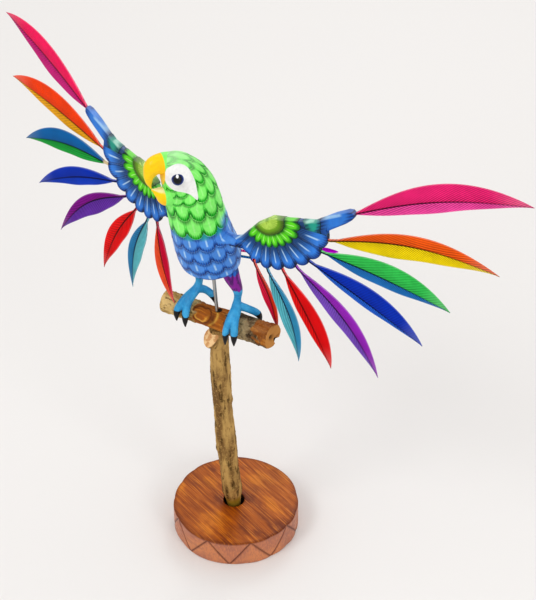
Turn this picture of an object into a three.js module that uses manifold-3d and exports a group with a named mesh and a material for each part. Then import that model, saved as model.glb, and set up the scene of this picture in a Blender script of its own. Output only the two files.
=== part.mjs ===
// Painted wooden parrot on a perch stand: a carved figure of the Oaxacan kind.
// Millimetres, +Z up, the bird faces -Y. The origin is the middle of the base's underside.
import * as THREE from 'three';
import { mergeVertices } from 'three/addons/utils/BufferGeometryUtils.js';
import Module from 'manifold-3d';

const wasm = await Module();
wasm.setup();

// ---- driving dimensions ----
const GAP = 0.3;                       // clearance between pieces that touch

const BASE_DIAMETER = 120;
const BASE_THICKNESS = 27;
const FOOT_HOLE_DIAMETER = 25;         // drilled well over the post's size
const FOOT_HOLE_DEPTH = 18;
const SCREW_SPREAD = 5.5;              // each screw's distance from the middle
const SCREW_LENGTH = 24;

const POST_DIAMETER = 18;
const POST_TOP = [-8, -9, 246];      // the post leans a little forwards and to its left

const PERCH_HEIGHT = 252;
const PERCH_MIDDLE = [-8, -9.7];
const PERCH_LENGTH = 107;
const PERCH_YAW = 6.9;                 // degrees
const PERCH_DIAMETERS = [19.5, 22.5];  // right end, left end

const ROD_DIAMETER = 3.2;
const ROD_FOOT = [-6.3, -9, 222];
const ROD_HEAD = [-11.5, -12.5, 338];

const MIDLINE_X = -11;                 // the bird's plane of symmetry
const HEAD_YAW = -33;                  // degrees, the face is turned to the bird's right
const EYE_DIAMETER = 10;

const WING_THICKNESS = 7.5;
const WING_PEG_DIAMETER = 4.4;
const QUILL_DIAMETER = 2.6;
const QUILL_DEPTH = 8;
const BLADE_THICKNESS = 2.4;
const BLADE_EDGE = 0.35;               // half width and half thickness that a tip keeps

// ---- small helpers ----
const vec = (x, y, z) => new THREE.Vector3(x, y, z);
const at = (list) => vec(...list);
const radians = THREE.MathUtils.degToRad;

function material(color, roughness = 0.45, metalness = 0) {
  return new THREE.MeshStandardMaterial({ color, roughness, metalness });
}

// Smooth value at t (0 to 1) through evenly spaced numbers.
function blend(values, t) {
  const curve = new THREE.SplineCurve(values.map((value, i) => new THREE.Vector2(i, value)));
  return curve.getPoint(THREE.MathUtils.clamp(t, 0, 1)).y;
}

// A closed solid swept along a path, with an oval section.
// place(t) gives the centre, acrossHalf(t) and deepHalf(t) the section's half sizes,
// and face(t) the direction in which the section is deep.
function sweep({ place, acrossHalf, deepHalf, face, sides = 10, steps = 12, ease = (f) => f }) {
  const geometry = new THREE.CylinderGeometry(1, 1, 1, sides, steps);
  const position = geometry.getAttribute('position');
  const small = 1e-3;
  for (let i = 0; i < position.count; i += 1) {
    const t = ease(position.getY(i) + 0.5);
    const along = place(Math.min(t + small, 1)).sub(place(Math.max(t - small, 0))).normalize();
    const across = along.clone().cross(face(t)).normalize();
    const deep = across.clone().cross(along);
    const point = place(t);
    point.addScaledVector(across, acrossHalf(t) * position.getX(i));
    point.addScaledVector(deep, deepHalf(t) * position.getZ(i));
    position.setXYZ(i, point.x, point.y, point.z);
  }
  return geometry;
}

// A round limb through hand-placed points, with a radius at each of them.
function limb(points, radii, sides = 9, steps = 10, grow = 0) {
  const path = new THREE.CatmullRomCurve3(points.map(at), false, 'centripetal');
  const radius = (t) => blend(radii, t) + grow;
  const face = () => vec(0.31, 0.9, 0.3);
  return sweep({ place: (t) => path.getPoint(t), acrossHalf: radius, deepHalf: radius, face, sides, steps });
}

// A straight round bar between two points.
function bar(start, end, diameter, sides = 16) {
  const run = end.clone().sub(start);
  const geometry = new THREE.CylinderGeometry(diameter / 2, diameter / 2, run.length(), sides);
  geometry.applyQuaternion(new THREE.Quaternion().setFromUnitVectors(vec(0, 1, 0), run.clone().normalize()));
  const middle = start.clone().add(end).multiplyScalar(0.5);
  return geometry.translate(middle.x, middle.y, middle.z);
}

function solid(geometry) {
  const bare = geometry.clone();
  bare.deleteAttribute('normal');
  bare.deleteAttribute('uv');
  const merged = mergeVertices(bare, 1e-4);
  return new wasm.Manifold(new wasm.Mesh({
    numProp: 3,
    vertProperties: new Float32Array(merged.getAttribute('position').array),
    triVerts: new Uint32Array(merged.getIndex().array),
  }));
}

function geometryOf(shape) {
  const mesh = shape.getMesh();
  const geometry = new THREE.BufferGeometry();
  geometry.setAttribute('position', new THREE.BufferAttribute(new Float32Array(mesh.vertProperties), 3));
  geometry.setIndex(new THREE.BufferAttribute(new Uint32Array(mesh.triVerts), 1));
  return geometry;
}

const joined = (geometries) => geometries.map(solid).reduce((whole, piece) => whole.add(piece));
const cut = (shape, tools) => tools.map(solid).reduce((whole, tool) => whole.subtract(tool), shape);

const figure = new THREE.Group();

function add(name, geometry, look) {
  const bare = geometry.clone();
  bare.deleteAttribute('uv');
  const mesh = new THREE.Mesh(bare, look);
  mesh.name = name;
  figure.add(mesh);
}

// ---- stand ----
const stained = material(0xa8431c, 0.35);
const bark = material(0x8a6f4c, 0.85);
const twig = material(0x9a6a3a, 0.8);
const steel = material(0x9a9a9a, 0.35, 1);

const postFoot = vec(-1.5, 0, BASE_THICKNESS - FOOT_HOLE_DEPTH + 1);

// The screw's head lies just inside the underside. Its socket is the same shape, grown by the gap.
function screwProfile(grow) {
  const head = 3.4 + grow;
  const shank = 1.5 + grow;
  const underside = grow > 0 ? -1 : 0.6;
  const cone = 1;
  const end = SCREW_LENGTH + grow * 2;
  return [[0, underside], [head, underside], [head, cone], [shank, cone + 3], [shank, end - 3], [0, end]]
    .map(([r, z]) => new THREE.Vector2(r, z));
}

function screw(side, grow = 0) {
  const geometry = new THREE.LatheGeometry(screwProfile(grow), 16);
  return geometry.rotateX(Math.PI / 2).translate(side * SCREW_SPREAD, 0, 0);
}

function makeBase() {
  const radius = BASE_DIAMETER / 2;
  const edge = 1.5;
  const profile = [
    [0, 0], [radius - edge, 0], [radius, edge], [radius, BASE_THICKNESS - edge],
    [radius - edge, BASE_THICKNESS], [0, BASE_THICKNESS],
  ].map(([r, z]) => new THREE.Vector2(r, z));
  const disc = new THREE.LatheGeometry(profile, 48).rotateX(Math.PI / 2);
  const holeFloor = vec(0, 0, BASE_THICKNESS - FOOT_HOLE_DEPTH);
  const hole = bar(holeFloor, vec(0, 0, BASE_THICKNESS + 5), FOOT_HOLE_DIAMETER, 32);
  add('base_disc', geometryOf(cut(solid(disc), [hole, screw(-1, GAP), screw(1, GAP)])), stained);
  add('post_screw_1', screw(-1), steel);
  add('post_screw_2', screw(1), steel);
}

// The perch lies along X, turned by PERCH_YAW. s runs from -1 (right end) to 1 (left end).
function perchPoint(s) {
  const yaw = radians(PERCH_YAW);
  const reach = s * PERCH_LENGTH / 2;
  return vec(PERCH_MIDDLE[0] + reach * Math.cos(yaw), PERCH_MIDDLE[1] + reach * Math.sin(yaw), PERCH_HEIGHT);
}

function perchShape(grow = 0) {
  const [thin, thick] = PERCH_DIAMETERS;
  const radius = (t) => (thin + (thick - thin) * t) / 2 + 0.35 * Math.sin(11 * t + 1) + grow;
  const place = (t) => perchPoint(2 * t - 1);
  const face = () => vec(0, 0, 1);
  return sweep({ place, acrossHalf: radius, deepHalf: radius, face, sides: 18, steps: 9 });
}

function postShape() {
  const path = (t) => postFoot.clone().lerp(at(POST_TOP), t).add(vec(-3 * Math.sin(Math.PI * t), 0, 0));
  const radius = (t) => POST_DIAMETER / 2 + 0.4 * Math.sin(19 * t) - 0.8 * t;
  const face = () => vec(0, 1, 0);
  return sweep({ place: path, acrossHalf: radius, deepHalf: radius, face, sides: 14, steps: 14 });
}

// The stub of a branch that was sawn off, on the post's front just under the perch.
function postStub() {
  return bar(vec(-8, -9, 232), vec(-17, -17, 238), 12, 12);
}

function makePost() {
  const rodHole = bar(at(ROD_FOOT).sub(vec(0, 0, 1)), at(ROD_HEAD), ROD_DIAMETER + 2 * GAP);
  const post = joined([postShape(), postStub()]);
  add('post', geometryOf(cut(post, [perchShape(GAP), rodHole, screw(-1, GAP), screw(1, GAP)])), bark);
}

function makePerch() {
  const rodHole = bar(at(ROD_FOOT), at(ROD_HEAD), ROD_DIAMETER + 2 * GAP);
  add('perch', geometryOf(cut(solid(perchShape()), [rodHole])), twig);
}

function makeRod() {
  add('support_rod', bar(at(ROD_FOOT), at(ROD_HEAD), ROD_DIAMETER), steel);
}

// ---- body ----
const green = material(0x35c04a, 0.35);
const skyBlue = material(0x2f95cf, 0.35);
const eyeBlack = material(0x11142a, 0.08);

// Stations from the belly up to the crown: x from the midline, y, z and radius.
const SPINE = [
  [0, -3, 298, 25], [0, -14, 326, 26.8], [-0.5, -21.5, 347.5, 25.8],
  [-0.5, -29.5, 376, 23.8], [-2.5, -37, 407.5, 23.6], [-6.5, -57, 443, 22],
];
const spinePath = new THREE.CatmullRomCurve3(SPINE.map(([x, y, z]) => vec(MIDLINE_X + x, y, z)));
const bodyRadius = (t) => blend(SPINE.map((station) => station[3]), t);
const roundEnds = (t) => Math.sqrt(Math.max(1 - Math.abs(2 * t - 1) ** 3, 0.004));

function bodyShape(grow = 0) {
  const half = (t) => bodyRadius(t) * roundEnds(t) + grow;
  return sweep({
    place: (t) => spinePath.getPoint(t),
    acrossHalf: half,
    deepHalf: half,
    face: () => vec(0, 1, 0),
    sides: 32,
    steps: 20,
    ease: (f) => (1 - Math.cos(Math.PI * f)) / 2,
  });
}

// A point on the body's surface. angle is measured round the spine, in degrees, from the
// front towards the bird's left.
function bodyPoint(t, angle) {
  const small = 1e-3;
  const along = spinePath.getPoint(t + small).sub(spinePath.getPoint(t - small)).normalize();
  const left = vec(0, 1, 0).cross(along).normalize();
  const front = left.clone().cross(along);
  const reach = bodyRadius(t) * roundEnds(t);
  const point = spinePath.getPoint(t).addScaledVector(front, reach * Math.cos(radians(angle)));
  return point.addScaledVector(left, reach * Math.sin(radians(angle)));
}

function bodyNormal(t, angle) {
  const upwards = bodyPoint(t + 0.01, angle).sub(bodyPoint(t - 0.01, angle));
  const leftwards = bodyPoint(t, angle + 2).sub(bodyPoint(t, angle - 2));
  return leftwards.cross(upwards).normalize();
}

// A point in the head's own upright middle plane: forwards along the face, sideways, and up.
const HEAD_MIDDLE = vec(-15, -47, 425);
function headPoint(forward, sideways, up) {
  const yaw = radians(HEAD_YAW);
  const ahead = vec(Math.sin(yaw), -Math.cos(yaw), 0).multiplyScalar(forward);
  const aside = vec(Math.cos(yaw), Math.sin(yaw), 0).multiplyScalar(sideways);
  return HEAD_MIDDLE.clone().add(ahead).add(aside).add(vec(0, 0, up));
}

// One half of the beak: hand-placed points on its middle line, half heights and half widths.
function beakHalf(line, heights, widths) {
  const path = new THREE.CatmullRomCurve3(line.map(([forward, up]) => headPoint(forward, 0, up)));
  const yaw = radians(HEAD_YAW);
  return sweep({
    place: (t) => path.getPoint(t),
    acrossHalf: (t) => blend(heights, t),
    deepHalf: (t) => blend(widths, t),
    face: () => vec(Math.cos(yaw), Math.sin(yaw), 0),
    sides: 12,
    steps: 9,
  });
}

const upperBeak = () => beakHalf(
  [[3, 9.5], [13, 10.3], [20, 8.5], [24, 2], [24.6, -5], [23.2, -11]],
  [8.5, 8.8, 8.2, 4.8, 2.6, 0.6],
  [8, 8.2, 7, 4.6, 2.8, 0.8],
);
const lowerBeak = () => beakHalf(
  [[3, -19.5], [11, -20], [17, -16.6], [22, -13]],
  [8, 8.6, 5, 0.8],
  [8, 7.4, 5, 1],
);

const EYE_SINK = 1.4;                  // how far each bead's middle lies under the skin
const EYES = [
  { name: 'eye_left', station: 0.93, angle: 42 },
  { name: 'eye_right', station: 0.895, angle: -110 },
];

// A domed bead, set into the head.
function eyeBead({ station, angle }, grow = 0) {
  const outward = bodyNormal(station, angle);
  const bead = new THREE.SphereGeometry(1, 14, 8);
  bead.scale(EYE_DIAMETER / 2 + grow, EYE_DIAMETER * 0.36 + grow, EYE_DIAMETER / 2 + grow);
  bead.applyQuaternion(new THREE.Quaternion().setFromUnitVectors(vec(0, 1, 0), outward));
  const centre = bodyPoint(station, angle).addScaledVector(outward, -EYE_SINK);
  return bead.translate(centre.x, centre.y, centre.z);
}

// ---- legs ----
// Each leg is carved in one piece: a shank and thigh, two toes in front and one behind.
const LEGS = [
  {
    name: 'leg_left',
    shank: [[8.5, -8, 318], [9, -7, 303], [9.2, -4.5, 288], [9.4, -3.5, 279], [11, -7.5, 270]],
    toes: [
      [[10.6, -6, 272], [11, -17, 264.5], [10.8, -22.8, 254], [10.7, -24.4, 240.5]],
      [[11.4, -6, 272], [16.4, -17, 264.5], [19.6, -22.8, 255], [20.2, -24.4, 243.6]],
      [[10, -6, 273], [18, 1.5, 267.5], [25.6, 8, 261], [27.6, 10.2, 251.5]],
    ],
  },
  {
    name: 'leg_right',
    shank: [[-30.5, -8, 318], [-31, -7, 303], [-31.5, -4.5, 288], [-31.8, -3.5, 279], [-32.6, -8.5, 271]],
    toes: [
      [[-32.4, -7, 272.5], [-32.6, -18.5, 265.5], [-31.6, -25.2, 255], [-31, -26.8, 242.7]],
      [[-32.8, -7, 272.5], [-37, -19, 266.5], [-39.8, -26.2, 257.5], [-39.7, -27.8, 246.7]],
      [[-32, -7, 273.5], [-27.5, -1, 270], [-22, 3.2, 262.5], [-20.5, 4.6, 253]],
    ],
  },
];
const SHANK_RADII = [6, 6.6, 3.7, 3.2, 3.6];
const TOE_RADII = [3, 2.9, 2.7, 0.9];

function legShape({ shank, toes }) {
  return joined([limb(shank, SHANK_RADII, 10, 9), ...toes.map((toe) => limb(toe, TOE_RADII, 8, 8))]);
}

function makeLegs() {
  for (const leg of LEGS) {
    add(leg.name, geometryOf(cut(legShape(leg), [perchShape(GAP)])), skyBlue);
  }
}

// ---- wings ----
const wingBlue = material(0x2f6fd0, 0.4);
const pegWood = material(0xd9bd8c, 0.8);

// The wing's plane: u runs outwards from the midline, v is the height.
const WING_SWEEP = 0.125;              // how far it runs back for each mm outwards
const WING_RAKE = 0.077;               // how far it runs back for each mm upwards
const WING_MIDDLE = { u: 90, v: 370, y: -11.8 };

function wingBasis(side) {
  const outwards = vec(side, WING_SWEEP, 0).normalize();
  const upwards = vec(0, WING_RAKE, 1).addScaledVector(outwards, -WING_RAKE * outwards.y).normalize();
  const through = outwards.clone().cross(upwards);
  return { outwards, upwards, through };
}

function wingPoint(side, u, v) {
  const back = WING_SWEEP * (u - WING_MIDDLE.u) + WING_RAKE * (v - WING_MIDDLE.v);
  return vec(MIDLINE_X + side * u, WING_MIDDLE.y + back, v);
}

// The top edge runs from the root over the shoulder to the arm's tip, then the lower edge
// comes back to the root in scallops. Each pair is u, v.
const WING_TOP = [
  [28, 356], [39, 363], [53, 380], [66, 390], [80, 392.5], [104, 398], [122, 411], [134.5, 417.5],
];
const ARM_UNDERSIDE = [[136, 411], [132, 404], [113.5, 390]];
const SCALLOP_NOTCHES = [
  [113.5, 390], [110, 373], [100.5, 360.5], [89.5, 352.5], [78, 346], [67, 342.5], [57, 342.5], [47, 345.5],
];
const SCALLOP_BULGE = 4.2;
const WING_ROOT = [[41, 350], [28, 349]];

// An arc of a few points that bulges outwards between two notches.
function scallop([u0, v0], [u1, v1]) {
  const away = new THREE.Vector2(v0 - v1, u1 - u0).normalize().multiplyScalar(SCALLOP_BULGE);
  return [0.2, 0.5, 0.8].map((f) => {
    const swell = Math.sin(Math.PI * f) ** 0.6;
    return [u0 + (u1 - u0) * f + away.x * swell, v0 + (v1 - v0) * f + away.y * swell];
  });
}

function wingOutline() {
  const outline = [...WING_TOP, ...ARM_UNDERSIDE];
  SCALLOP_NOTCHES.slice(1).forEach((notch, i) => {
    outline.push(...scallop(SCALLOP_NOTCHES[i], notch), notch);
  });
  return [...outline, ...WING_ROOT];
}

function wingSlab(side) {
  const corners = wingOutline().map(([u, v]) => new THREE.Vector2(u - WING_MIDDLE.u, v - WING_MIDDLE.v));
  const outline = new THREE.Shape(corners);
  const slab = new THREE.ExtrudeGeometry(outline, { depth: WING_THICKNESS, bevelEnabled: false });
  slab.translate(0, 0, -WING_THICKNESS / 2);
  const { outwards, upwards, through } = wingBasis(side);
  slab.applyMatrix4(new THREE.Matrix4().makeBasis(outwards, upwards, through));
  const middle = wingPoint(side, WING_MIDDLE.u, WING_MIDDLE.v);
  return slab.translate(middle.x, middle.y, middle.z);
}

// The dowel that holds a wing in the body's side.
function wingPeg(side, grow = 0) {
  const { outwards } = wingBasis(side);
  const start = wingPoint(side, 34, 356.5);
  const inner = start.clone().addScaledVector(outwards, -20 - grow * 2);
  const outer = start.clone().addScaledVector(outwards, 14 + grow * 2);
  return bar(inner, outer, WING_PEG_DIAMETER + 2 * grow, 14);
}

// ---- feathers ----
// Each wing feather: its root [u, v] on the wing's edge and its tip [u, y, v]. Carved by hand, it
// has its own widths of the outer and inner halves and bow of the midrib on each wing.
const WING_FEATHERS = [
  { name: 'pink', root: [134, 412.5], tip: [268, 43, 446], left: [15.5, 9.3, 8.1], right: [13.5, 12.5, 3.2] },
  { name: 'orange', root: [118, 383], tip: [252.5, 27, 384], left: [10.5, 12.9, 10.3], right: [15.5, 10, 2.8] },
  { name: 'green', root: [112, 370], tip: [223, 6, 348.5], left: [15.5, 8.3, 2.5], right: [12.6, 9.7, 7] },
  { name: 'blue', root: [102.5, 357], tip: [204.5, -2, 311], left: [14.7, 5.5, 1.5], right: [9.8, 8.1, 5] },
  { name: 'purple', root: [91, 347], tip: [171.5, -14, 270], left: [9, 9.2, 7.6], right: [7.5, 12, 10] },
  { name: 'red', root: [78, 340], tip: [124, -12, 255.5], left: [11.3, 6.9, 2], right: [9.7, 9.2, 5] },
  { name: 'cyan', root: [64, 335.5], tip: [91, -12, 247.5], left: [6.6, 9.7, 6.2], right: [8.3, 9.3, 6.7] },
  { name: 'inner', root: [52, 337.5], tip: [50.5, 13.5, 246], left: [3.9, 7, 3.9], right: [10, 7, 4] },
];
const FEATHER_COLORS = {
  pink: 0xee4f94,
  orange: 0xf8a035,
  green: 0x2fae9a,
  blue: 0x2650cc,
  purple: 0x8a44c4,
  red: 0xe0202c,
  cyan: 0x62b8cc,
  inner: 0xf0485a,
};
// Hand work isn't symmetrical: some tips of the right wing lie higher, and its inner feather
// is shorter and hangs forwards of the perch.
const RIGHT_TIPS = { orange: [252.5, 27, 393], purple: [171.5, -14, 279], inner: [28, -30, 268] };

const TAIL_ROOT = [8, 322];            // y, z of the row of sockets in the rump
const TAIL_SLOPE = -33;                // degrees
const TAIL_LAYER = 3.2;                // the feathers lie over each other, this far apart
const TAIL_FEATHERS = [
  { name: 'purple', fan: 0, layer: 0, length: 210, halves: [13, 13] },
  { name: 'pink', fan: 7, layer: 1, length: 118, halves: [10, 10] },
  { name: 'blue', fan: -7, layer: 1, length: 118, halves: [10, 10] },
  { name: 'green', fan: 14, layer: 2, length: 98, halves: [9.5, 9.5] },
  { name: 'orange', fan: -14, layer: 2, length: 98, halves: [9.5, 9.5] },
];
const tailSlope = radians(TAIL_SLOPE);
const tailFacing = vec(0, -Math.sin(tailSlope), Math.cos(tailSlope));

// A leaf's width along its length: 0 at both ends and 1 at its widest.
const LEAF_RISE = 1.1;
const OUTER_FALL = 0.9;                // the outer half is full almost to the tip
const INNER_FALL = 1.5;
function leaf(b, fall) {
  const peak = LEAF_RISE / (LEAF_RISE + fall);
  return (b / peak) ** LEAF_RISE * ((1 - b) / (1 - peak)) ** fall;
}

// A leaf-shaped blade on a round quill. t runs from the quill's inner end to the tip, and
// b from 0 to 1 along the blade. The blade's two halves lie on either side of its midrib.
function feather({ root, tip, facing, halves, bow, flip = 1 }, grow = 0) {
  const run = tip.clone().sub(root);
  const length = run.length();
  const along = run.clone().normalize();
  const outer = along.clone().cross(facing).normalize().multiplyScalar(-flip);
  const quill = QUILL_DEPTH / (length + QUILL_DEPTH);
  const blade = (t) => Math.max((t - quill) / (1 - quill), 0);
  const outerHalf = (b) => halves[0] * leaf(b, OUTER_FALL);
  const innerHalf = (b) => halves[1] * leaf(b, INNER_FALL);
  const place = (t) => {
    const b = blade(t);
    const aside = bow * Math.sin(Math.PI * b) + (outerHalf(b) - innerHalf(b)) / 2;
    const distance = t * (length + QUILL_DEPTH) - QUILL_DEPTH;
    return root.clone().addScaledVector(along, distance).addScaledVector(outer, aside);
  };
  const stem = (t) => QUILL_DIAMETER / 2 * (1 - blade(t)) ** 0.5;
  const bladeHalf = (t) => (outerHalf(blade(t)) + innerHalf(blade(t))) / 2;
  return sweep({
    place,
    acrossHalf: (t) => Math.max(stem(t), bladeHalf(t), BLADE_EDGE) + grow,
    deepHalf: (t) => Math.max(Math.min(stem(t), BLADE_THICKNESS / 2), BLADE_EDGE) + grow,
    face: () => facing,
    sides: 8,
    steps: 13,
  });
}

function wingFeatherEnds(side, spec) {
  const tipList = side < 0 ? RIGHT_TIPS[spec.name] ?? spec.tip : spec.tip;
  const root = wingPoint(side, ...spec.root);
  const tip = vec(MIDLINE_X + side * tipList[0], tipList[1], tipList[2]);
  return { root, tip };
}

function wingFeather(side, spec, grow = 0) {
  const { root, tip } = wingFeatherEnds(side, spec);
  const facing = wingBasis(side).through.multiplyScalar(side);
  const [outer, inner, bow] = side > 0 ? spec.left : spec.right;
  return feather({ root, tip, facing, halves: [outer, inner], bow, flip: side }, grow);
}

// The drilled hole that a feather's quill is pushed into.
function quillHole({ root, tip }) {
  const along = tip.clone().sub(root).normalize();
  const inner = root.clone().addScaledVector(along, -QUILL_DEPTH - 0.5);
  const outer = root.clone().addScaledVector(along, 5);
  return bar(inner, outer, QUILL_DIAMETER + 2 * GAP, 10);
}

function makeWing(side, name) {
  const holes = WING_FEATHERS.map((spec) => quillHole(wingFeatherEnds(side, spec)));
  const slots = WING_FEATHERS.map((spec) => wingFeather(side, spec, GAP));
  const cutters = [bodyShape(GAP), wingPeg(side, GAP), ...holes, ...slots];
  add(`wing_${name}`, geometryOf(cut(solid(wingSlab(side)), cutters)), wingBlue);
  add(`wing_peg_${name}`, wingPeg(side), pegWood);
  for (const spec of WING_FEATHERS) {
    add(`feather_${name}_${spec.name}`, wingFeather(side, spec), material(FEATHER_COLORS[spec.name], 0.4));
  }
}

function tailFeatherEnds({ fan, layer, length }) {
  const turn = radians(fan);
  const level = vec(0, Math.cos(tailSlope), Math.sin(tailSlope)).multiplyScalar(Math.cos(turn));
  const along = level.add(vec(Math.sin(turn), 0, 0));
  const root = vec(MIDLINE_X + fan * 0.9, TAIL_ROOT[0], TAIL_ROOT[1]);
  root.addScaledVector(tailFacing, -layer * TAIL_LAYER);
  return { root, tip: root.clone().addScaledVector(along, length) };
}

function tailFeather(spec, grow = 0) {
  return feather({ ...tailFeatherEnds(spec), facing: tailFacing, halves: spec.halves, bow: 0 }, grow);
}

function makeTail() {
  for (const spec of TAIL_FEATHERS) {
    add(`tail_${spec.name}`, tailFeather(spec), material(FEATHER_COLORS[spec.name], 0.4));
  }
}

function makeBody() {
  const carved = joined([bodyShape(), upperBeak(), lowerBeak()]);
  const rodHole = bar(at(ROD_FOOT), at(ROD_HEAD).add(vec(0, 0, 1)), ROD_DIAMETER + 2 * GAP);
  const legSockets = LEGS.map(({ shank }) => limb(shank, SHANK_RADII, 10, 9, GAP));
  const tailHoles = TAIL_FEATHERS.map(tailFeatherEnds).map(quillHole);
  const tailSlots = TAIL_FEATHERS.map((spec) => tailFeather(spec, GAP));
  const eyeSockets = EYES.map((eye) => eyeBead(eye, GAP));
  const wingSockets = [wingPeg(-1, GAP), wingPeg(1, GAP)];
  const sockets = [rodHole, ...legSockets, ...tailHoles, ...tailSlots, ...eyeSockets, ...wingSockets];
  const body = cut(carved, sockets);
  add('parrot_body', geometryOf(body), green);
  for (const eye of EYES) {
    add(eye.name, eyeBead(eye), eyeBlack);
  }
}

makeBase();
makePost();
makePerch();
makeRod();
makeBody();
makeLegs();
makeWing(1, 'left');
makeWing(-1, 'right');
makeTail();

export default figure;
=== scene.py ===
"""Painted wooden parrot on a perch stand: the visible pieces, their paint and a plain stage."""

import math

import bpy
import numpy as np
from mathutils import Matrix, Vector, noise


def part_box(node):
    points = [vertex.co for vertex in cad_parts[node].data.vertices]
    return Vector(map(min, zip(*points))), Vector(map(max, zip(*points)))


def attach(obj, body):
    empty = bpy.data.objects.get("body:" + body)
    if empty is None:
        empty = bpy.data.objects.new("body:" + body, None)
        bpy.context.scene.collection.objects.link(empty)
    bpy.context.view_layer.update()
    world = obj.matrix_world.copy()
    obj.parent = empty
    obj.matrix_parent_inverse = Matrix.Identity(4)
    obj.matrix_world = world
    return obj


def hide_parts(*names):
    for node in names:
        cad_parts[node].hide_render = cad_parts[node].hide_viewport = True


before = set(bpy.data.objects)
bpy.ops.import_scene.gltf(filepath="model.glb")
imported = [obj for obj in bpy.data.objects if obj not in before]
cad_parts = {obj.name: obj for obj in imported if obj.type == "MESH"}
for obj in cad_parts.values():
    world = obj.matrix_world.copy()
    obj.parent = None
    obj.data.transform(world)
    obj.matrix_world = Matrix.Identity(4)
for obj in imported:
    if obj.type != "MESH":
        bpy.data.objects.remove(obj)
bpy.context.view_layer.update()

bl_info = {
    "name": "Carved Parrot",
    "version": (1, 0, 0),
    "blender": (4, 5, 0),
    "location": "3D View > Sidebar > Parrot",
    "description": "Builds a painted wooden parrot on its perch stand",
    "category": "Object",
}

MM = 0.001
PI = math.pi


# ---------------------------------------------------------------- shape helpers
def paint(code):
    """Linear RGB from a hex colour."""
    parts = [int(code[i:i + 2], 16) / 255 for i in (1, 3, 5)]
    return tuple(c / 12.92 if c <= 0.04045 else ((c + 0.055) / 1.055) ** 2.4 for c in parts)


def vec(*values):
    return np.array(values, float)


def unit(v):
    return v / np.maximum(np.linalg.norm(v, axis=-1, keepdims=True), 1e-12)


def smooth(low, high, x):
    f = np.clip((x - low) / (high - low), 0, 1)
    return f * f * (3 - 2 * f)


def spline(points, t):
    """Points of the centripetal Catmull-Rom curve through some places; t runs from 0 to 1."""
    p = np.asarray(points, float)
    p = np.vstack([2 * p[0] - p[1], p, 2 * p[-1] - p[-2]])
    t = np.clip(np.asarray(t, float), 0, 1) * (len(points) - 1)
    i = np.minimum(t.astype(int), len(points) - 2)
    w = (t - i)[..., None]
    p0, p1, p2, p3 = p[i], p[i + 1], p[i + 2], p[i + 3]
    d0, d1, d2 = (np.linalg.norm(b - a, axis=-1, keepdims=True) ** 0.5
                  for a, b in ((p0, p1), (p1, p2), (p2, p3)))
    m1 = ((p1 - p0) / d0 - (p2 - p0) / (d0 + d1) + (p2 - p1) / d1) * d1
    m2 = ((p2 - p1) / d1 - (p3 - p1) / (d1 + d2) + (p3 - p2) / d2) * d1
    return (((2 * p1 - 2 * p2 + m1 + m2) * w - 3 * p1 + 3 * p2 - 2 * m1 - m2) * w + m1) * w + p1


def blend(values, t):
    """Smooth value through evenly spaced numbers; t runs from 0 to 1."""
    v = np.asarray(values, float)
    v = np.concatenate([v[:1], v, v[-1:]])
    t = np.clip(np.asarray(t, float), 0, 1) * (len(values) - 1)
    i = np.minimum(t.astype(int), len(values) - 2)
    w = t - i
    m1, m2 = (v[i + 2] - v[i]) / 2, (v[i + 3] - v[i + 1]) / 2
    step = v[i + 1] - v[i + 2]
    return (((2 * step + m1 + m2) * w - 3 * step - 2 * m1 - m2) * w + m1) * w + v[i + 1]


def sweep(path, half, t, angle, face=(0, 1, 0)):
    """Rows of points round a path: half(t, angle) gives the section's half width and half depth.
    Angle 0 is the section's front, and a quarter turn its left."""
    small = 1e-3
    centre = path(t)
    along = unit(path(np.minimum(t + small, 1)) - path(np.maximum(t - small, 0)))
    left = unit(np.cross(np.array(face, float), along))
    front = np.cross(left, along)
    tt, aa = np.meshgrid(t, angle, indexing="ij")
    wide, deep = half(tt, aa)
    return (centre[:, None] + left[:, None] * (wide * np.sin(aa))[..., None]
            + front[:, None] * (deep * np.cos(aa))[..., None])


def straight(start, end):
    """A straight path for sweep."""
    return lambda t: start + (end - start) * t[:, None]


def turn(count):
    """Angles all round, without the last one, which is the first again."""
    return np.linspace(-PI, PI, count, endpoint=False)


def rough(points, size, seed=0.0):
    """Noise of about -1 to 1 at each point, with bumps of about this size in mm."""
    flat = points.reshape(-1, 3) / size + seed
    return np.array([noise.noise(Vector(p)) for p in flat]).reshape(points.shape[:-1]) * 1.6


def normals(rings):
    """Outward directions of a grid of rings, by the slopes along and round it."""
    round_it = np.roll(rings, -1, axis=1) - np.roll(rings, 1, axis=1)
    along_it = np.gradient(rings, axis=0)
    out = unit(np.cross(round_it, along_it))
    middle = rings.mean(axis=1, keepdims=True)
    return out * np.sign(((rings - middle) * out).sum(-1).mean() or 1)


def add_values(mesh, values):
    """Stores named values at a mesh's points, where its material reads them."""
    for key, numbers in values.items():
        stored = mesh.attributes.new(key, "FLOAT", "POINT")
        stored.data.foreach_set("value", np.ravel(numbers).astype(np.float32))


def mesh_object(name, points, faces, values):
    """An object from points in mm, faces and named values at the points."""
    mesh = bpy.data.meshes.new(name)
    mesh.from_pydata((points * MM).tolist(), [], faces)
    add_values(mesh, values)
    mesh.shade_smooth()
    piece = bpy.data.objects.new(name, mesh)
    bpy.context.collection.objects.link(piece)
    return piece


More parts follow.
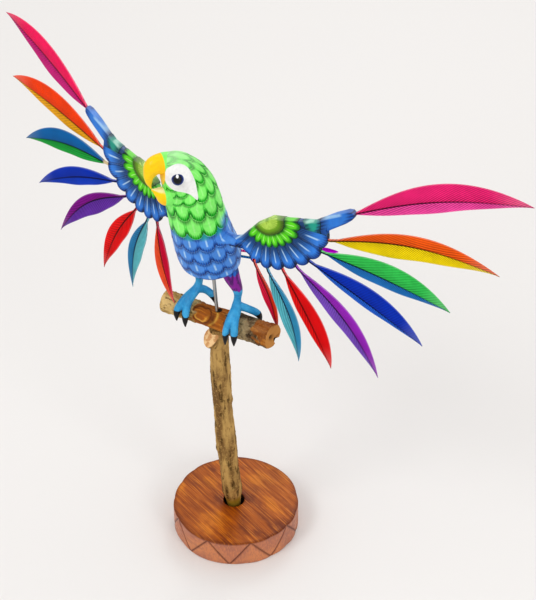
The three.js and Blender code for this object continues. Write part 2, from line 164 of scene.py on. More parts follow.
def skin(name, rings, **values):
    """A closed skin over rings of points, with a fan at each end."""
    rows, around = rings.shape[:2]
    index = np.arange(rows * around).reshape(rows, around)
    after = np.roll(index, -1, axis=1)
    quads = np.stack([index[:-1], after[:-1], after[1:], index[1:]], -1).reshape(-1, 4).tolist()
    first, last = rows * around, rows * around + 1
    fans = [[first, after[0, k], index[0, k]] for k in range(around)]
    fans += [[last, index[-1, k], after[-1, k]] for k in range(around)]
    points = np.vstack([rings.reshape(-1, 3), rings[0].mean(0), rings[-1].mean(0)])
    spread = {k: np.append(v.ravel(), [v[0].mean(), v[-1].mean()]) for k, v in values.items()}
    piece = mesh_object(name, points, quads + [[int(k) for k in fan] for fan in fans], spread)
    volume = np.einsum("ij,ij->i", points[index[:-1].ravel()],
                       np.cross(points[after[:-1].ravel()], points[after[1:].ravel()])).sum()
    if volume < 0:
        piece.data.flip_normals()
    return piece


def finish(piece, material):
    piece.data.materials.clear()
    piece.data.materials.append(material)


def dress(piece, material, body, slot, *nodes):
    """Gives a piece its material and the body it moves with, and hides the nodes it stands for. The slot is
    not used.
    """
    finish(piece, material)
    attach(piece, body)
    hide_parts(*nodes)
    return piece


# ---------------------------------------------------------------- shader helpers
def node(tree, kind, sockets=None, **settings):
    """A shader node; a socket's value is a number, a colour or another node's output."""
    made = tree.nodes.new(kind)
    for key, value in settings.items():
        setattr(made, key, value)
    for key, value in (sockets or {}).items():
        if isinstance(value, bpy.types.NodeSocket):
            tree.links.new(value, made.inputs[key])
        else:
            made.inputs[key].default_value = value
    return made


def value_of(tree, name):
    return node(tree, "ShaderNodeAttribute", attribute_name=name).outputs["Fac"]


def calc(tree, operation, a, b=0.0, c=0.0):
    return node(tree, "ShaderNodeMath", {0: a, 1: b, 2: c}, operation=operation).outputs[0]


def step(tree, x, low, high, start=0.0, end=1.0):
    """Goes smoothly from start to end as x goes from low to high."""
    sockets = {0: x, 1: low, 2: high, 3: start, 4: end}
    return node(tree, "ShaderNodeMapRange", sockets, interpolation_type="SMOOTHSTEP").outputs[0]


def mix(tree, factor, a, b, blend_type="MIX"):
    sockets = {0: factor, 6: a if isinstance(a, bpy.types.NodeSocket) else (*a[:3], 1),
               7: b if isinstance(b, bpy.types.NodeSocket) else (*b[:3], 1)}
    return node(tree, "ShaderNodeMix", sockets, data_type="RGBA", blend_type=blend_type).outputs[2]


def place(tree, scale=(1, 1, 1), turned=0.0):
    """The piece's own coordinates, scaled and turned about Z."""
    own = node(tree, "ShaderNodeTexCoord").outputs["Object"]
    return node(tree, "ShaderNodeMapping", {0: own, 2: (0, 0, turned), 3: scale}).outputs[0]


def cloud(tree, where, scale, detail=4.0):
    return node(tree, "ShaderNodeTexNoise", {"Vector": where, "Scale": scale, "Detail": detail}).outputs[0]


def group(name, inputs, outputs, fill):
    """A node group with named sockets, built once. fill(tree, entry) makes its inside and returns
    the socket for each output."""
    tree = bpy.data.node_groups.get(name)
    if tree:
        return tree
    tree = bpy.data.node_groups.new(name, "ShaderNodeTree")
    for key, (kind, default) in inputs.items():
        made = tree.interface.new_socket(name=key, in_out="INPUT", socket_type=kind)
        made.default_value = (*default, 1) if kind == "NodeSocketColor" else default
    for key, kind in outputs.items():
        tree.interface.new_socket(name=key, in_out="OUTPUT", socket_type=kind)
    entry = tree.nodes.new("NodeGroupInput").outputs
    leave = tree.nodes.new("NodeGroupOutput").inputs
    for key, socket in fill(tree, entry).items():
        tree.links.new(socket, leave[key])
    return tree


def use(tree, group_tree, sockets):
    made = tree.nodes.new("ShaderNodeGroup")
    made.node_tree = group_tree
    for key, value in sockets.items():
        if isinstance(value, bpy.types.NodeSocket):
            tree.links.new(value, made.inputs[key])
        else:
            socket = made.inputs[key]
            socket.default_value = (*value[:3], 1) if socket.type == "RGBA" else value
    return made.outputs


NUMBER, COLOR = "NodeSocketFloat", "NodeSocketColor"


def brushwork():
    """Brushed paint on carved wood: colour that varies a little, uneven gloss and fine tool marks."""
    def fill(tree, entry):
        fine = cloud(tree, place(tree), 420.0)
        broad = cloud(tree, place(tree), 70.0)
        deep = mix(tree, step(tree, broad, 0.35, 0.65, 0.16, 0.0), entry["Color"], (0.3, 0.3, 0.3),
                   "MULTIPLY")
        shaded = mix(tree, step(tree, fine, 0.3, 0.6, 0.14, 0.0), deep, (0.4, 0.4, 0.4), "MULTIPLY")
        gloss = step(tree, fine, 0.3, 0.7, 0.38, 0.55)
        height = calc(tree, "MULTIPLY", fine, entry["Marks"])
        return {"Color": shaded, "Roughness": gloss, "Height": height}
    return group("Brushwork", {"Color": (COLOR, (1, 1, 1)), "Marks": (NUMBER, 0.3)},
                 {"Color": COLOR, "Roughness": NUMBER, "Height": NUMBER}, fill)


def fine_lines():
    """Thin painted lines that run side by side. Lines is 1 on a line, and wavers as a hand does."""
    def fill(tree, entry):
        waver = calc(tree, "MULTIPLY", cloud(tree, place(tree), 150.0, 2.0), entry["Waver"])
        wave = calc(tree, "SINE", calc(tree, "MULTIPLY_ADD", entry["Across"], entry["Count"], waver))
        return {"Lines": step(tree, wave, entry["Width"], 1.0)}
    return group("Fine lines", {"Across": (NUMBER, 0.0), "Count": (NUMBER, 30.0), "Waver": (NUMBER, 4.0),
                                "Width": (NUMBER, 0.2)}, {"Lines": NUMBER}, fill)


def wood_grain():
    """Straight grain along X: broad patches of three tones under fine dark and bright fibres."""
    def fill(tree, entry):
        where = node(tree, "ShaderNodeVectorRotate", {"Vector": place(tree), "Angle": entry["Turn"]},
                     rotation_type="Z_AXIS").outputs[0]
        stretched = node(tree, "ShaderNodeMapping", {0: where, 3: (0.035, 1, 0.35)}).outputs[0]
        bands = cloud(tree, stretched, entry["Scale"], 4.0)
        fibres = cloud(tree, stretched, calc(tree, "MULTIPLY", entry["Scale"], 3.5), 3.0)
        broad = node(tree, "ShaderNodeMapping", {0: where, 3: (0.5, 1, 1)}).outputs[0]
        patches = cloud(tree, broad, calc(tree, "MULTIPLY", entry["Scale"], 0.2), 3.0)
        tone = mix(tree, step(tree, patches, 0.3, 0.5, 0.75, 0.0), entry["Light"], entry["Dark"])
        tone = mix(tree, step(tree, patches, 0.52, 0.66, 0.0, 0.8), tone, entry["Glow"])
        tone = mix(tree, step(tree, bands, 0.36, 0.52, 0.3, 0.0), tone, entry["Dark"])
        tone = mix(tree, step(tree, fibres, 0.38, 0.5, 0.4, 0.0), tone, entry["Dark"])
        tone = mix(tree, step(tree, fibres, 0.57, 0.64, 0.0, 0.6), tone, entry["Glow"])
        return {"Color": tone, "Height": fibres, "Roughness": step(tree, fibres, 0.3, 0.7, 0.5, 0.32)}
    return group("Wood grain", {"Turn": (NUMBER, 0.0), "Scale": (NUMBER, 120.0),
                                "Light": (COLOR, (0.6, 0.3, 0.1)), "Dark": (COLOR, (0.2, 0.05, 0.02)),
                                "Glow": (COLOR, (0.8, 0.4, 0.1))},
                 {"Color": COLOR, "Height": NUMBER, "Roughness": NUMBER}, fill)


def bark_skin():
    """Bark with long fissures and blotches of three tones."""
    def fill(tree, entry):
        where = node(tree, "ShaderNodeMapping", {0: place(tree), 3: entry["Stretch"]}).outputs[0]
        fissures = cloud(tree, where, 260.0, 6.0)
        blotches = cloud(tree, where, 110.0, 4.0)
        specks = cloud(tree, place(tree), 520.0, 3.0)
        tone = mix(tree, step(tree, blotches, 0.36, 0.6), entry["Dark"], entry["Light"])
        tone = mix(tree, step(tree, fissures, 0.36, 0.48, 0.8, 0.0), tone, entry["Deep"])
        tone = mix(tree, step(tree, specks, 0.52, 0.66, 0.0, 0.55), tone, entry["Light"])
        height = calc(tree, "MULTIPLY_ADD", fissures, 1.4, calc(tree, "MULTIPLY", specks, 0.6))
        return {"Color": tone, "Height": height, "Roughness": step(tree, fissures, 0.3, 0.7, 0.92, 0.7)}
    return group("Bark skin", {"Stretch": ("NodeSocketVector", (1, 1, 0.25)),
                               "Light": (COLOR, (0.5, 0.4, 0.25)),
                               "Dark": (COLOR, (0.3, 0.2, 0.1)), "Deep": (COLOR, (0.08, 0.05, 0.03))},
                 {"Color": COLOR, "Height": NUMBER, "Roughness": NUMBER}, fill)


def surface(name, build, bump=0.3, distance=0.0004, **constants):
    """A material: build(tree) returns the colour, roughness and height sockets that its shader uses."""
    material = bpy.data.materials.new(name)
    material.use_nodes = True
    tree = material.node_tree
    shader = tree.nodes["Principled BSDF"]
    for key, value in constants.items():
        shader.inputs[key.replace("_", " ")].default_value = value
    made = build(tree)
    tree.links.new(made["Color"], shader.inputs["Base Color"])
    tree.links.new(made["Roughness"], shader.inputs["Roughness"])
    relief = node(tree, "ShaderNodeBump", {"Height": made["Height"], "Strength": bump, "Distance": distance})
    tree.links.new(relief.outputs[0], shader.inputs["Normal"])
    return material


# ---------------------------------------------------------------- settings
def tint(name, text, code):
    return bpy.props.FloatVectorProperty(name=name, description=text, subtype="COLOR", size=3, min=0, max=1,
                                         default=paint(code))


def length(name, text, size):
    return bpy.props.FloatProperty(name=name, description=text, default=size * MM, min=0, unit="LENGTH")


class StandSettings(bpy.types.PropertyGroup):
    """Sizes and colours of the stand."""
    notch: length("Notch depth", "Depth of the zigzag cut into the base's side", 0.7)
    bark_relief: length("Bark relief", "Height of the bark's bumps", 0.45)
    stain: tint("Stain", "Light grain of the base", "#a8580a")
    stain_dark: tint("Dark stain", "Dark grain of the base", "#622404")
    stain_glow: tint("Glow", "Yellow patches in the base's grain", "#d07c16")
    bark: tint("Bark", "Light bark of the post", "#b8965c")
    bark_dark: tint("Dark bark", "Dark bark of the post", "#765830")
    peeled: tint("Peeled wood", "Whittled wood of the perch", "#a8621c")


class BodySettings(bpy.types.PropertyGroup):
    """Sizes and colours of the bird's body."""
    columns: bpy.props.IntProperty(name="Columns", description="Scales round the body", default=11, min=4)
    relief: length("Relief", "How far each scale's tip stands out", 0.55)
    mint: tint("Mint", "Middle of a green scale", "#8af474")
    green: tint("Green", "Edge of a green scale", "#18c41c")
    deep_green: tint("Deep green", "Outline of a green scale", "#045c0a")
    sky: tint("Sky", "Middle of a blue scale", "#4e90e0")
    blue: tint("Blue", "Edge of a blue scale", "#0e62be")
    deep_blue: tint("Deep blue", "Outline of a blue scale", "#052f70")
    beak: tint("Beak", "Yellow of the beak", "#ffd400")
    leg: tint("Leg", "Blue of the legs", "#48acdc")
    thigh: tint("Thigh", "Purple of the thighs", "#8e1c9a")


class WingSettings(bpy.types.PropertyGroup):
    """Sizes of the wings' carving."""
    thickness: length("Thickness", "The wing's thickness at its middle", 7.2)
    step: length("Step", "How far each row of petals lies under the one inside it", 0.55)
    lobe: length("Lobe", "How far each petal's middle stands out", 0.8)


class FeatherSettings(bpy.types.PropertyGroup):
    """Sizes of the feathers' carving."""
    thickness: length("Thickness", "The blade's thickness at its middle", 2.4)
    rib: length("Rib", "Depth of the cut along the middle", 0.3)
    barbs: length("Barb spacing", "Distance between two barb lines", 3.2)


class StageSettings(bpy.types.PropertyGroup):
    """The floor, the lights and the camera."""
    floor: tint("Floor", "Colour of the floor", "#e4e2e0")
    lens: bpy.props.FloatProperty(name="Lens", description="Focal length in mm", default=102)
    key: bpy.props.FloatProperty(name="Key light", description="Power of the main light in watts",
                                 default=11.5)
    fill: bpy.props.FloatProperty(name="Even light", description="Strength of the light from all round",
                                  default=0.74)


# ---------------------------------------------------------------- stand
BASE_HIGH = np.array(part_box("base_disc")[1]) / MM
PERCH_LOW, PERCH_HIGH = (np.array(corner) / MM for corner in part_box("perch"))
ROD_LOW, ROD_HIGH = (np.array(corner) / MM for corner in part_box("support_rod"))
FOOT_HOLE = (9.8, 17.5)                # radius and depth, mm
FOOT = vec(-2.0, -0.5)                 # the middle of that hole, mm
SCREWS = ((-5.5, 0), (5.5, 0))
GRAIN_TURN = math.radians(16)
ZIGZAGS = 9                            # teeth cut round the base's side
FLATS = 11                             # slight flats round it
EDGE_ROUND = 1.2                       # radius of the base's edges, mm
POST_RADIUS = 9.4
STUB_RADIUS = 8.0
ROD_RADIUS = 1.6
# Knots on the post: share of its height, angle round it and size in mm.
KNOTS = ((0.37, -0.5, 1.3), (0.3, 0.7, 0.8), (0.62, 2.2, 1.4), (0.16, 1.2, 1.0))
PERCH_YAW = math.radians(6.9)
WHITTLED_FACETS = 5


def base_shape(notch):
    """The turned disc: its underside, side, top and the foot's hole as one closed skin."""
    radius, top = BASE_HIGH[0], BASE_HIGH[2]
    hole, depth = FOOT_HOLE
    edge = EDGE_ROUND
    bend = np.linspace(0, PI / 2, 6)
    outline = [(r, 0.0) for r in np.linspace(1, radius - edge, 14)]
    outline += [(radius - edge + edge * math.sin(a), edge - edge * math.cos(a)) for a in bend]
    outline += [(radius, z) for z in np.linspace(edge + 0.5, top - edge - 0.5, 44)]
    outline += [(radius - edge + edge * math.cos(a), top - edge + edge * math.sin(a)) for a in bend]
    outline += [(r, top) for r in np.linspace(radius - edge - 1, hole + 0.6, 40)]
    outline += [(hole, top - 0.5), (hole, top - depth / 2), (hole - 0.1, top - depth), (1, top - depth)]
    profile = np.array(outline)
    angle = turn(420)
    r, z = (np.repeat(profile[:, k][:, None], len(angle), 1) for k in (0, 1))
    zigzag = np.abs(((angle / (2 * PI) * ZIGZAGS) % 1) * 2 - 1) * top
    slope = top * ZIGZAGS / (PI * radius)
    gap = np.abs(z - zigzag) / math.hypot(1, slope)
    on_side = (r > radius - 0.2) & (z > 0)
    cut = np.where(on_side, np.exp(-(gap / 0.9) ** 2), 0)
    slice_angle = (angle + 0.35 * np.sin(2 * angle)) % (2 * PI / FLATS) - PI / FLATS
    wobble = 0.7 * (1 - (slice_angle * FLATS / PI) ** 2)
    wobble = wobble + 0.35 * np.sin(3 * angle + 1) + 0.2 * np.sin(7 * angle)
    r = r - cut * notch - (0.9 - wobble) * smooth(hole + 2, radius, r)
    points = np.stack([r * np.cos(angle), r * np.sin(angle), z], -1)
    points[..., :2] += FOOT * (smooth(radius * 0.7, hole, r) * smooth(1, 4, z))[..., None]
    rim = smooth(radius - 4.5, radius - 1, r) * smooth(top - 3, top - 0.4, z)
    side = smooth(top - 0.3, top - 1.6, z)
    # Painted shade: the walls of the foot's hole are made near black.
    hole_shade = smooth(hole + 0.5, hole - 0.1, r) * smooth(0.5, 1.5, z)
    return points, {"cut": cut, "rim": rim, "side": side, "hole_shade": hole_shade}


def stained_wood(s):
    def build(tree):
        grain = use(tree, wood_grain(), {"Turn": GRAIN_TURN, "Scale": 260.0, "Light": tuple(s.stain),
                                         "Dark": tuple(s.stain_dark), "Glow": tuple(s.stain_glow)})
        # Painted glare: the base's side is made half way paler pink, standing in for light on it.
        side_glare = calc(tree, "MULTIPLY", value_of(tree, "side"), 0.5)
        pale = mix(tree, side_glare, grain["Color"], paint("#c8907c"))
        # Darker in the zigzag cut and along the outer edge of the top.
        rim_dark = calc(tree, "MULTIPLY", value_of(tree, "rim"), 0.55)
        dark = calc(tree, "MAXIMUM", value_of(tree, "cut"), rim_dark)
        color = mix(tree, calc(tree, "MULTIPLY", dark, 0.8), pale, paint("#4a1a10"))
        # Painted shade in the foot's hole.
        color = mix(tree, value_of(tree, "hole_shade"), color, paint("#1e0d06"))
        return {"Color": color, "Roughness": grain["Roughness"], "Height": grain["Height"]}
    return surface("Stained wood", build, bump=0.3, distance=0.0003, Specular_IOR_Level=0.3)


def post_shape(relief):
    """The post: a bark-covered branch with knots, swept up to the perch."""
    foot = vec(-1.5, 0, BASE_HIGH[2] - FOOT_HOLE[1] + 1)
    head = vec(-8, -9, PERCH_LOW[2] + 3)

    def path(t):
        bow = np.stack([-3 * np.sin(PI * t), 0 * t, 0 * t], -1)
        return foot + (head - foot) * t[:, None] + bow

    def half(t, a):
        knots = sum(size * np.exp(-((t - at) / 0.012) ** 2 - (np.sin((a - side) / 2) / 0.25) ** 2)
                    for at, side, size in KNOTS)
        radius = POST_RADIUS + 0.4 * np.sin(19 * t) - 0.8 * t + knots + 0.25 * np.sin(3 * a + 7 * t)
        radius = radius * (0.68 + 0.32 * smooth(0.055, 0.14, t))
        return radius, radius
    t = np.linspace(0, 1, 330)
    rings = sweep(path, half, t, turn(96))
    ridges = rough(rings * [1, 1, 0.35], 2.2) * 0.7 + rough(rings, 1.1, 7.0) * 0.4
    chip = smooth(0.115, 0.08, t)[:, None] * smooth(-0.1, 0.5, np.cos(turn(96) - 0.5))[None]
    return rings + normals(rings) * (ridges * relief * (1 - chip))[..., None], chip


def stub_shape():
    """The stub of a sawn branch on the post's front, under the perch."""
    start, end = vec(-7, -9, 228), vec(-10.8, -18.5, 237)

    def half(t, a):
        rounded = np.sqrt(np.clip(1 - np.maximum(t - 0.82, 0) ** 2 / 0.034, 0.02, 1))
        radius = STUB_RADIUS * rounded * (1 + 0.06 * np.sin(3 * a))
        return radius, radius * 1.25
    t, angle = np.linspace(0, 1, 40), turn(48)
    rings = sweep(straight(start, end), half, t, angle, (0, 0, 1))
    reach = np.repeat(t[:, None], len(angle), 1)
    return rings + normals(rings) * (rough(rings, 2.0) * 0.25)[..., None], reach


def post_bark(s):
    def build(tree):
        bark = use(tree, bark_skin(), {"Light": tuple(s.bark), "Dark": tuple(s.bark_dark),
                                       "Deep": paint("#45300f")})
        patches = step(tree, cloud(tree, place(tree), 260.0), 0.4, 0.6)
        sawn = mix(tree, patches, paint("#cc9a68"), paint("#ecc896"))
        color = mix(tree, step(tree, value_of(tree, "sawn"), 0.72, 0.84), bark["Color"], sawn)
        color = mix(tree, value_of(tree, "chip"), color, paint("#9a7a24"))
        return {"Color": color, "Roughness": bark["Roughness"], "Height": bark["Height"]}
    return surface("Bark", build, bump=0.5, distance=0.0007, Specular_IOR_Level=0.25)


def perch_shape(relief):
    """The perch: bark towards both ends, whittled facets and a knot between, and sawn ends."""
    middle = (PERCH_LOW + PERCH_HIGH) / 2
    reach = (PERCH_HIGH[0] - PERCH_LOW[0]) / 2 / math.cos(PERCH_YAW) - 0.9
    axis, up = vec(math.cos(PERCH_YAW), math.sin(PERCH_YAW), 0), vec(0, 0, 1)
    across = np.cross(up, axis)
    cap = np.array([0.1, 0.22, 0.35, 0.48, 0.6, 0.7, 0.8, 0.88, 0.94, 0.98])
    s = np.concatenate([np.full(10, -1.0), np.linspace(-1, 1, 240), np.full(10, 1.0)])
    shrink = np.concatenate([cap, np.ones(240), cap[::-1]])[:, None]
    ss, aa = np.meshgrid(s, turn(132), indexing="ij")
    t = (ss + 1) / 2
    ring = across * np.cos(aa)[..., None] + up * np.sin(aa)[..., None]
    round_place = middle + axis * (ss * reach)[..., None] + ring * 10
    ragged = rough(round_place, 5.0, 11.0) * 0.07
    whittled = smooth(-0.40, -0.35, ss + ragged) * smooth(0.24, 0.18, ss + ragged)
    near_end = smooth(0.8, 0.9, ss + 2.5 * ragged + 0.2 * np.cos(aa - 1.6)) * 0.8
    radius = 9.75 + 1.5 * t + 0.3 * np.sin(11 * t + 1)
    facet = PI / WHITTLED_FACETS
    corner = np.cos(facet) / np.cos((aa + 0.7 * ss) % (2 * facet) - facet)
    radius = radius * (1 + whittled * 0.35 * (corner - 0.9)) - 0.6 * whittled
    knot = np.exp(-((ss + 0.22) * reach / 6.5) ** 2 - (np.sin((aa - 2.55) / 2) / 0.3) ** 2)
    waist = np.exp(-((ss + 0.02) * reach / 3.0) ** 2 - (np.sin((aa - 2.7) / 2) / 0.35) ** 2)
    knot = knot * (1 + 5 * ragged)
    radius = radius + 1.5 * knot - 1.2 * waist
    points = middle + axis * (ss * reach)[..., None] + ring * (radius * shrink)[..., None]
    bumps = rough(points, 1.8) * 0.6 + rough(points, 4.5, 3.0) * 0.6
    points = points + ring * (bumps * relief * (1.5 - whittled) * (shrink > 0.99))[..., None]
    end = np.sign(ss) * smooth(0.985, 1.0, np.abs(ss))
    from_pith = np.hypot(shrink * radius * np.cos(aa) + 1.0, shrink * radius * np.sin(aa))
    crack = smooth(0.34, 0.1, np.abs(np.sin((aa + 0.9) / 2)) * 2) * smooth(0.3, 0.8, shrink) * (ss > 0)
    sink = 3.0 * np.exp(-(from_pith / 1.8) ** 2) + 2.6 * crack
    sink = sink - 0.22 * shrink * radius * np.cos(aa) * (ss > 0)
    points = points - axis * (end * sink)[..., None]
    sawn = (np.abs(ss) > 0.999) * (shrink < 0.99)
    # Painted shade: near black in the pith hole and the crack of the sawn end, and round the rod's hole on
    # top.
    dark = smooth(0.99, 1.0, np.abs(ss)) * np.clip(1.2 * np.exp(-(from_pith / 2.0) ** 2) + crack, 0, 1)
    rod_gap = np.hypot(*(points - vec(-6.6, -9.2, 0))[..., :2].transpose(2, 0, 1))
    dark = np.maximum(dark, smooth(3.4, 2.2, rod_gap) * (points[..., 2] > middle[2]))
    seam = np.exp(-((ss + 0.02 + 0.08 * np.sin(2 * aa)) * reach / 1.3) ** 2)
    seam = seam * smooth(0.1, 0.6, np.sin(aa - 0.8))
    sap = np.exp(-((knot - 0.4) / 0.12) ** 2) * smooth(2.2, 3.2, aa % (2 * PI)) + seam
    shade = np.maximum(waist, np.exp(-((knot - 0.16) / 0.07) ** 2))
    return points, {"whittled": np.maximum(whittled, near_end), "sawn": sawn * 1.0,
                    "hollow_shade": dark, "side": ss, "sap": np.clip(sap, 0, 1) * whittled,
                    "shade": shade * whittled}


def perch_wood(s):
    def build(tree):
        bark = use(tree, bark_skin(), {"Light": paint("#a08c68"), "Dark": paint("#5c4830"),
                                       "Deep": paint("#2a1c10"), "Stretch": (0.6, 1, 1)})
        tan = use(tree, bark_skin(), {"Light": paint("#d2b47a"), "Dark": paint("#9c7c42"),
                                      "Deep": paint("#5c431c"), "Stretch": (0.5, 1, 1)})
        peeled = use(tree, wood_grain(), {"Scale": 200.0, "Light": tuple(s.peeled), "Dark": paint("#7a4210"),
                                          "Glow": paint("#cc862c")})
        color = mix(tree, step(tree, value_of(tree, "side"), -0.4, -0.3), tan["Color"], bark["Color"])
        color = mix(tree, value_of(tree, "whittled"), color, peeled["Color"])
        color = mix(tree, calc(tree, "MULTIPLY", value_of(tree, "sap"), 0.8), color, paint("#e0ae4c"))
        color = mix(tree, calc(tree, "MULTIPLY", value_of(tree, "shade"), 0.75), color, paint("#401a06"))
        rings = use(tree, fine_lines(), {"Across": value_of(tree, "sawn"), "Count": 1.0,
                                         "Waver": 9.0, "Width": 0.1})
        face = mix(tree, rings["Lines"], paint("#bc8444"), paint("#94602a"))
        color = mix(tree, value_of(tree, "sawn"), color, face)
        # Painted shade in the pith hole, the crack and round the rod.
        color = mix(tree, value_of(tree, "hollow_shade"), color, paint("#140a04"))
        return {"Color": color, "Roughness": bark["Roughness"], "Height": bark["Height"]}
    return surface("Perch wood", build, bump=0.5, distance=0.0006, Specular_IOR_Level=0.3)


def drawn_steel():
    def build(tree):
        lines = cloud(tree, place(tree, (1, 1, 0.02)), 900.0, 2.0)
        color = mix(tree, lines, paint("#8f8d8a"), paint("#c4c2be"))
        return {"Color": color, "Roughness": step(tree, lines, 0.3, 0.7, 0.28, 0.42), "Height": lines}
    return surface("Drawn steel", build, bump=0.1, distance=0.0001, Metallic=1.0)


def bare_wood():
    def build(tree):
        grain = use(tree, wood_grain(), {"Scale": 300.0, "Light": paint("#e2c898"), "Dark": paint("#b8935c"),
                                         "Glow": paint("#ecd8ae")})
        return {"Color": grain["Color"], "Roughness": grain["Roughness"], "Height": grain["Height"]}
    return surface("Bare wood", build, bump=0.3)


class PARROT_OT_base(bpy.types.Operator):
    """Build the round stained base, and the screws in its underside"""
    bl_idname = "parrot.base"
    bl_label = "Base"

    def execute(self, context):
        s = context.scene.parrot_stand
        points, values = base_shape(s.notch / MM)
        piece = skin("base_turned", points, **values)
        for x, y in SCREWS:
            bpy.ops.mesh.primitive_cylinder_add(vertices=40, radius=3.9 * MM, depth=8 * MM,
                                                location=(x * MM, y * MM, 0))
            socket = context.object
            cutter = piece.modifiers.new("socket", "BOOLEAN")
            cutter.object = socket
            context.view_layer.objects.active = piece
            bpy.ops.object.modifier_apply(modifier="socket")
            bpy.data.objects.remove(socket)
        dress(piece, stained_wood(s), "stand", "stained_wood", "base_disc")
        steel = drawn_steel()
        for name in ("post_screw_1", "post_screw_2"):
            finish(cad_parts[name], steel)
        return {"FINISHED"}


class PARROT_OT_perch(bpy.types.Operator):
    """Build the post, the perch on it and the rod that holds the bird"""
    bl_idname = "parrot.perch"
    bl_label = "Post, perch and rod"

    def execute(self, context):
        s = context.scene.parrot_stand
        bark = post_bark(s)
        rings, chip = post_shape(s.bark_relief / MM)
        post = skin("post_branch", rings, sawn=0 * chip, chip=chip)
        dress(post, bark, "stand", "bark", "post")
        stub, reach = stub_shape()
        dress(skin("post_stub", stub, sawn=reach, chip=0 * reach), bark, "stand", "bark", "post")
        points, values = perch_shape(s.bark_relief / MM)
        dress(skin("perch_branch", points, **values), perch_wood(s), "stand", "peeled_branch", "perch")
        dress(skin("rod_steel", rod_shape()), drawn_steel(), "stand", "steel", "support_rod")
        return {"FINISHED"}


def rod_shape():
    """The rod, with softened ends."""
    start, end = vec(-6.3, -9, ROD_LOW[2]), vec(-11.5, -12.5, ROD_HIGH[2] - 0.2)

    def half(t, a):
        past = np.maximum(np.abs(2 * t - 1) - 0.985, 0)
        radius = ROD_RADIUS * np.sqrt(np.clip(1 - past ** 2 / 0.00026, 0.1, 1))
        return radius, radius
    t = np.concatenate([np.linspace(0, 0.01, 6), np.linspace(0.05, 0.95, 30), np.linspace(0.99, 1, 6)])
    return sweep(straight(start, end), half, t, turn(32))


# ---------------------------------------------------------------- body
MIDLINE = -11.0
# Stations from the belly up to the crown: x from the midline, y, z and radius, mm.
SPINE = ((0, -3, 298, 26), (0, -14, 326, 27.2), (-0.5, -21.5, 347.5, 25.8),
         (-0.5, -29.5, 376, 23.8), (-2.5, -37, 407.5, 23.6), (-6.5, -57, 443, 22))
SPINE_POINTS = [(MIDLINE + x, y, z) for x, y, z, _ in SPINE]
EYES = {"left": (0.93, 42), "right": (0.895, -110)}
HEAD = vec(-15, -47, 425)
HEAD_YAW = math.radians(-33)
AHEAD = vec(math.sin(HEAD_YAW), -math.cos(HEAD_YAW), 0)
ASIDE = vec(math.cos(HEAD_YAW), math.sin(HEAD_YAW), 0)
BEAK_LINE = 13.0                       # the yellow begins this far ahead of the head's middle
# The white patch round an eye: towards the back and up from the eye, mm.
PATCH = ((-10.6, 2.6), (-7.6, 9.2), (-0.1, 12.3), (7.4, 8.2), (12.6, -1.5), (14.8, -12), (15.2, -21.5),
         (9.6, -15.6), (4.5, -12.9), (-2.4, -11.8), (-8.6, -7.3))


def round_ends(t):
    """Rounds the body off: a full belly below, a longer dome above."""
    return np.sqrt(np.maximum(1 - np.abs(2 * t - 1) ** np.where(t < 0.5, 6.5, 3), 0.0004))


def body_half(t, a):
    radius = blend([row[3] for row in SPINE], t) * round_ends(t)
    return radius, radius


def body_path(t):
    return spline(SPINE_POINTS, t)


def body_point(t, angle):
    return sweep(body_path, body_half, vec(t), vec(math.radians(angle)))[0, 0]


def eye_frame(side):
    """An eye's place on the skin, and its directions outwards, towards the back and up."""
    t, angle = EYES[side]
    up = body_point(t + 0.01, angle) - body_point(t - 0.01, angle)
    around = body_point(t, angle + 2) - body_point(t, angle - 2)
    out = unit(np.cross(around, up))
    sign = 1 if side == "left" else -1
    back = unit(vec(-out[1], out[0], 0)) * sign
    return body_point(t, angle), out, back, np.cross(out, back) * sign


def closed_curve(corners, steps):
    """Points of a smooth closed curve through some corners."""
    loop = np.array([corners[-1], *corners, corners[0], corners[1]], float)
    count = len(corners)
    t = (1 + np.arange(count * steps) / steps) / (count + 2)
    return spline(loop, t)


def patch_depth(points, side):
    """How far inside the white patch each point lies, in mm; less than 0 outside."""
    centre, out, back, up = eye_frame(side)
    away = points - centre
    flat = np.stack([away @ back, away @ up], -1)
    start = closed_curve(PATCH, 5)
    run = np.roll(start, -1, axis=0) - start
    nearest, inside = np.full(points.shape[:-1], 1e9), np.zeros(points.shape[:-1], bool)
    for a, r in zip(start, run):
        to = flat - a
        f = np.clip((to @ r) / (r @ r), 0, 1)
        nearest = np.minimum(nearest, np.linalg.norm(to - f[..., None] * r, axis=-1))
        crosses = (a[1] > flat[..., 1]) != (a[1] + r[1] > flat[..., 1])
        reach = a[0] + (flat[..., 1] - a[1]) * r[0] / (r[1] if abs(r[1]) > 1e-9 else 1e-9)
        inside ^= crosses & (flat[..., 0] < reach)
    depth = np.where(inside, nearest, -nearest)
    return np.where(away @ out > -14, depth, -20)


# Heights, mm, and the row of scales that each lies in. Above the last, the rows fan out about a line
# across the throat, so that they run back over the crown from the beak.
ROW_HEIGHTS = (286, 308, 320.3, 332.8, 347.4, 362, 380.7, 395)
ROW_PLACES = (10.1, 8.5, 7.5, 6.5, 5.5, 4.5, 3.55, 2.9)
THROAT = HEAD + AHEAD * 24 - vec(0, 0, 30)
FAN_ROWS = 4.6                         # rows in a quarter turn about the throat
FIRST_BLUE_ROW = 4
BELLY_FLAT = 316.0                     # the belly is flattened below this height, mm
BODY_ROWS, BODY_AROUND = 330, 296      # points of the carving's mesh, up and round it


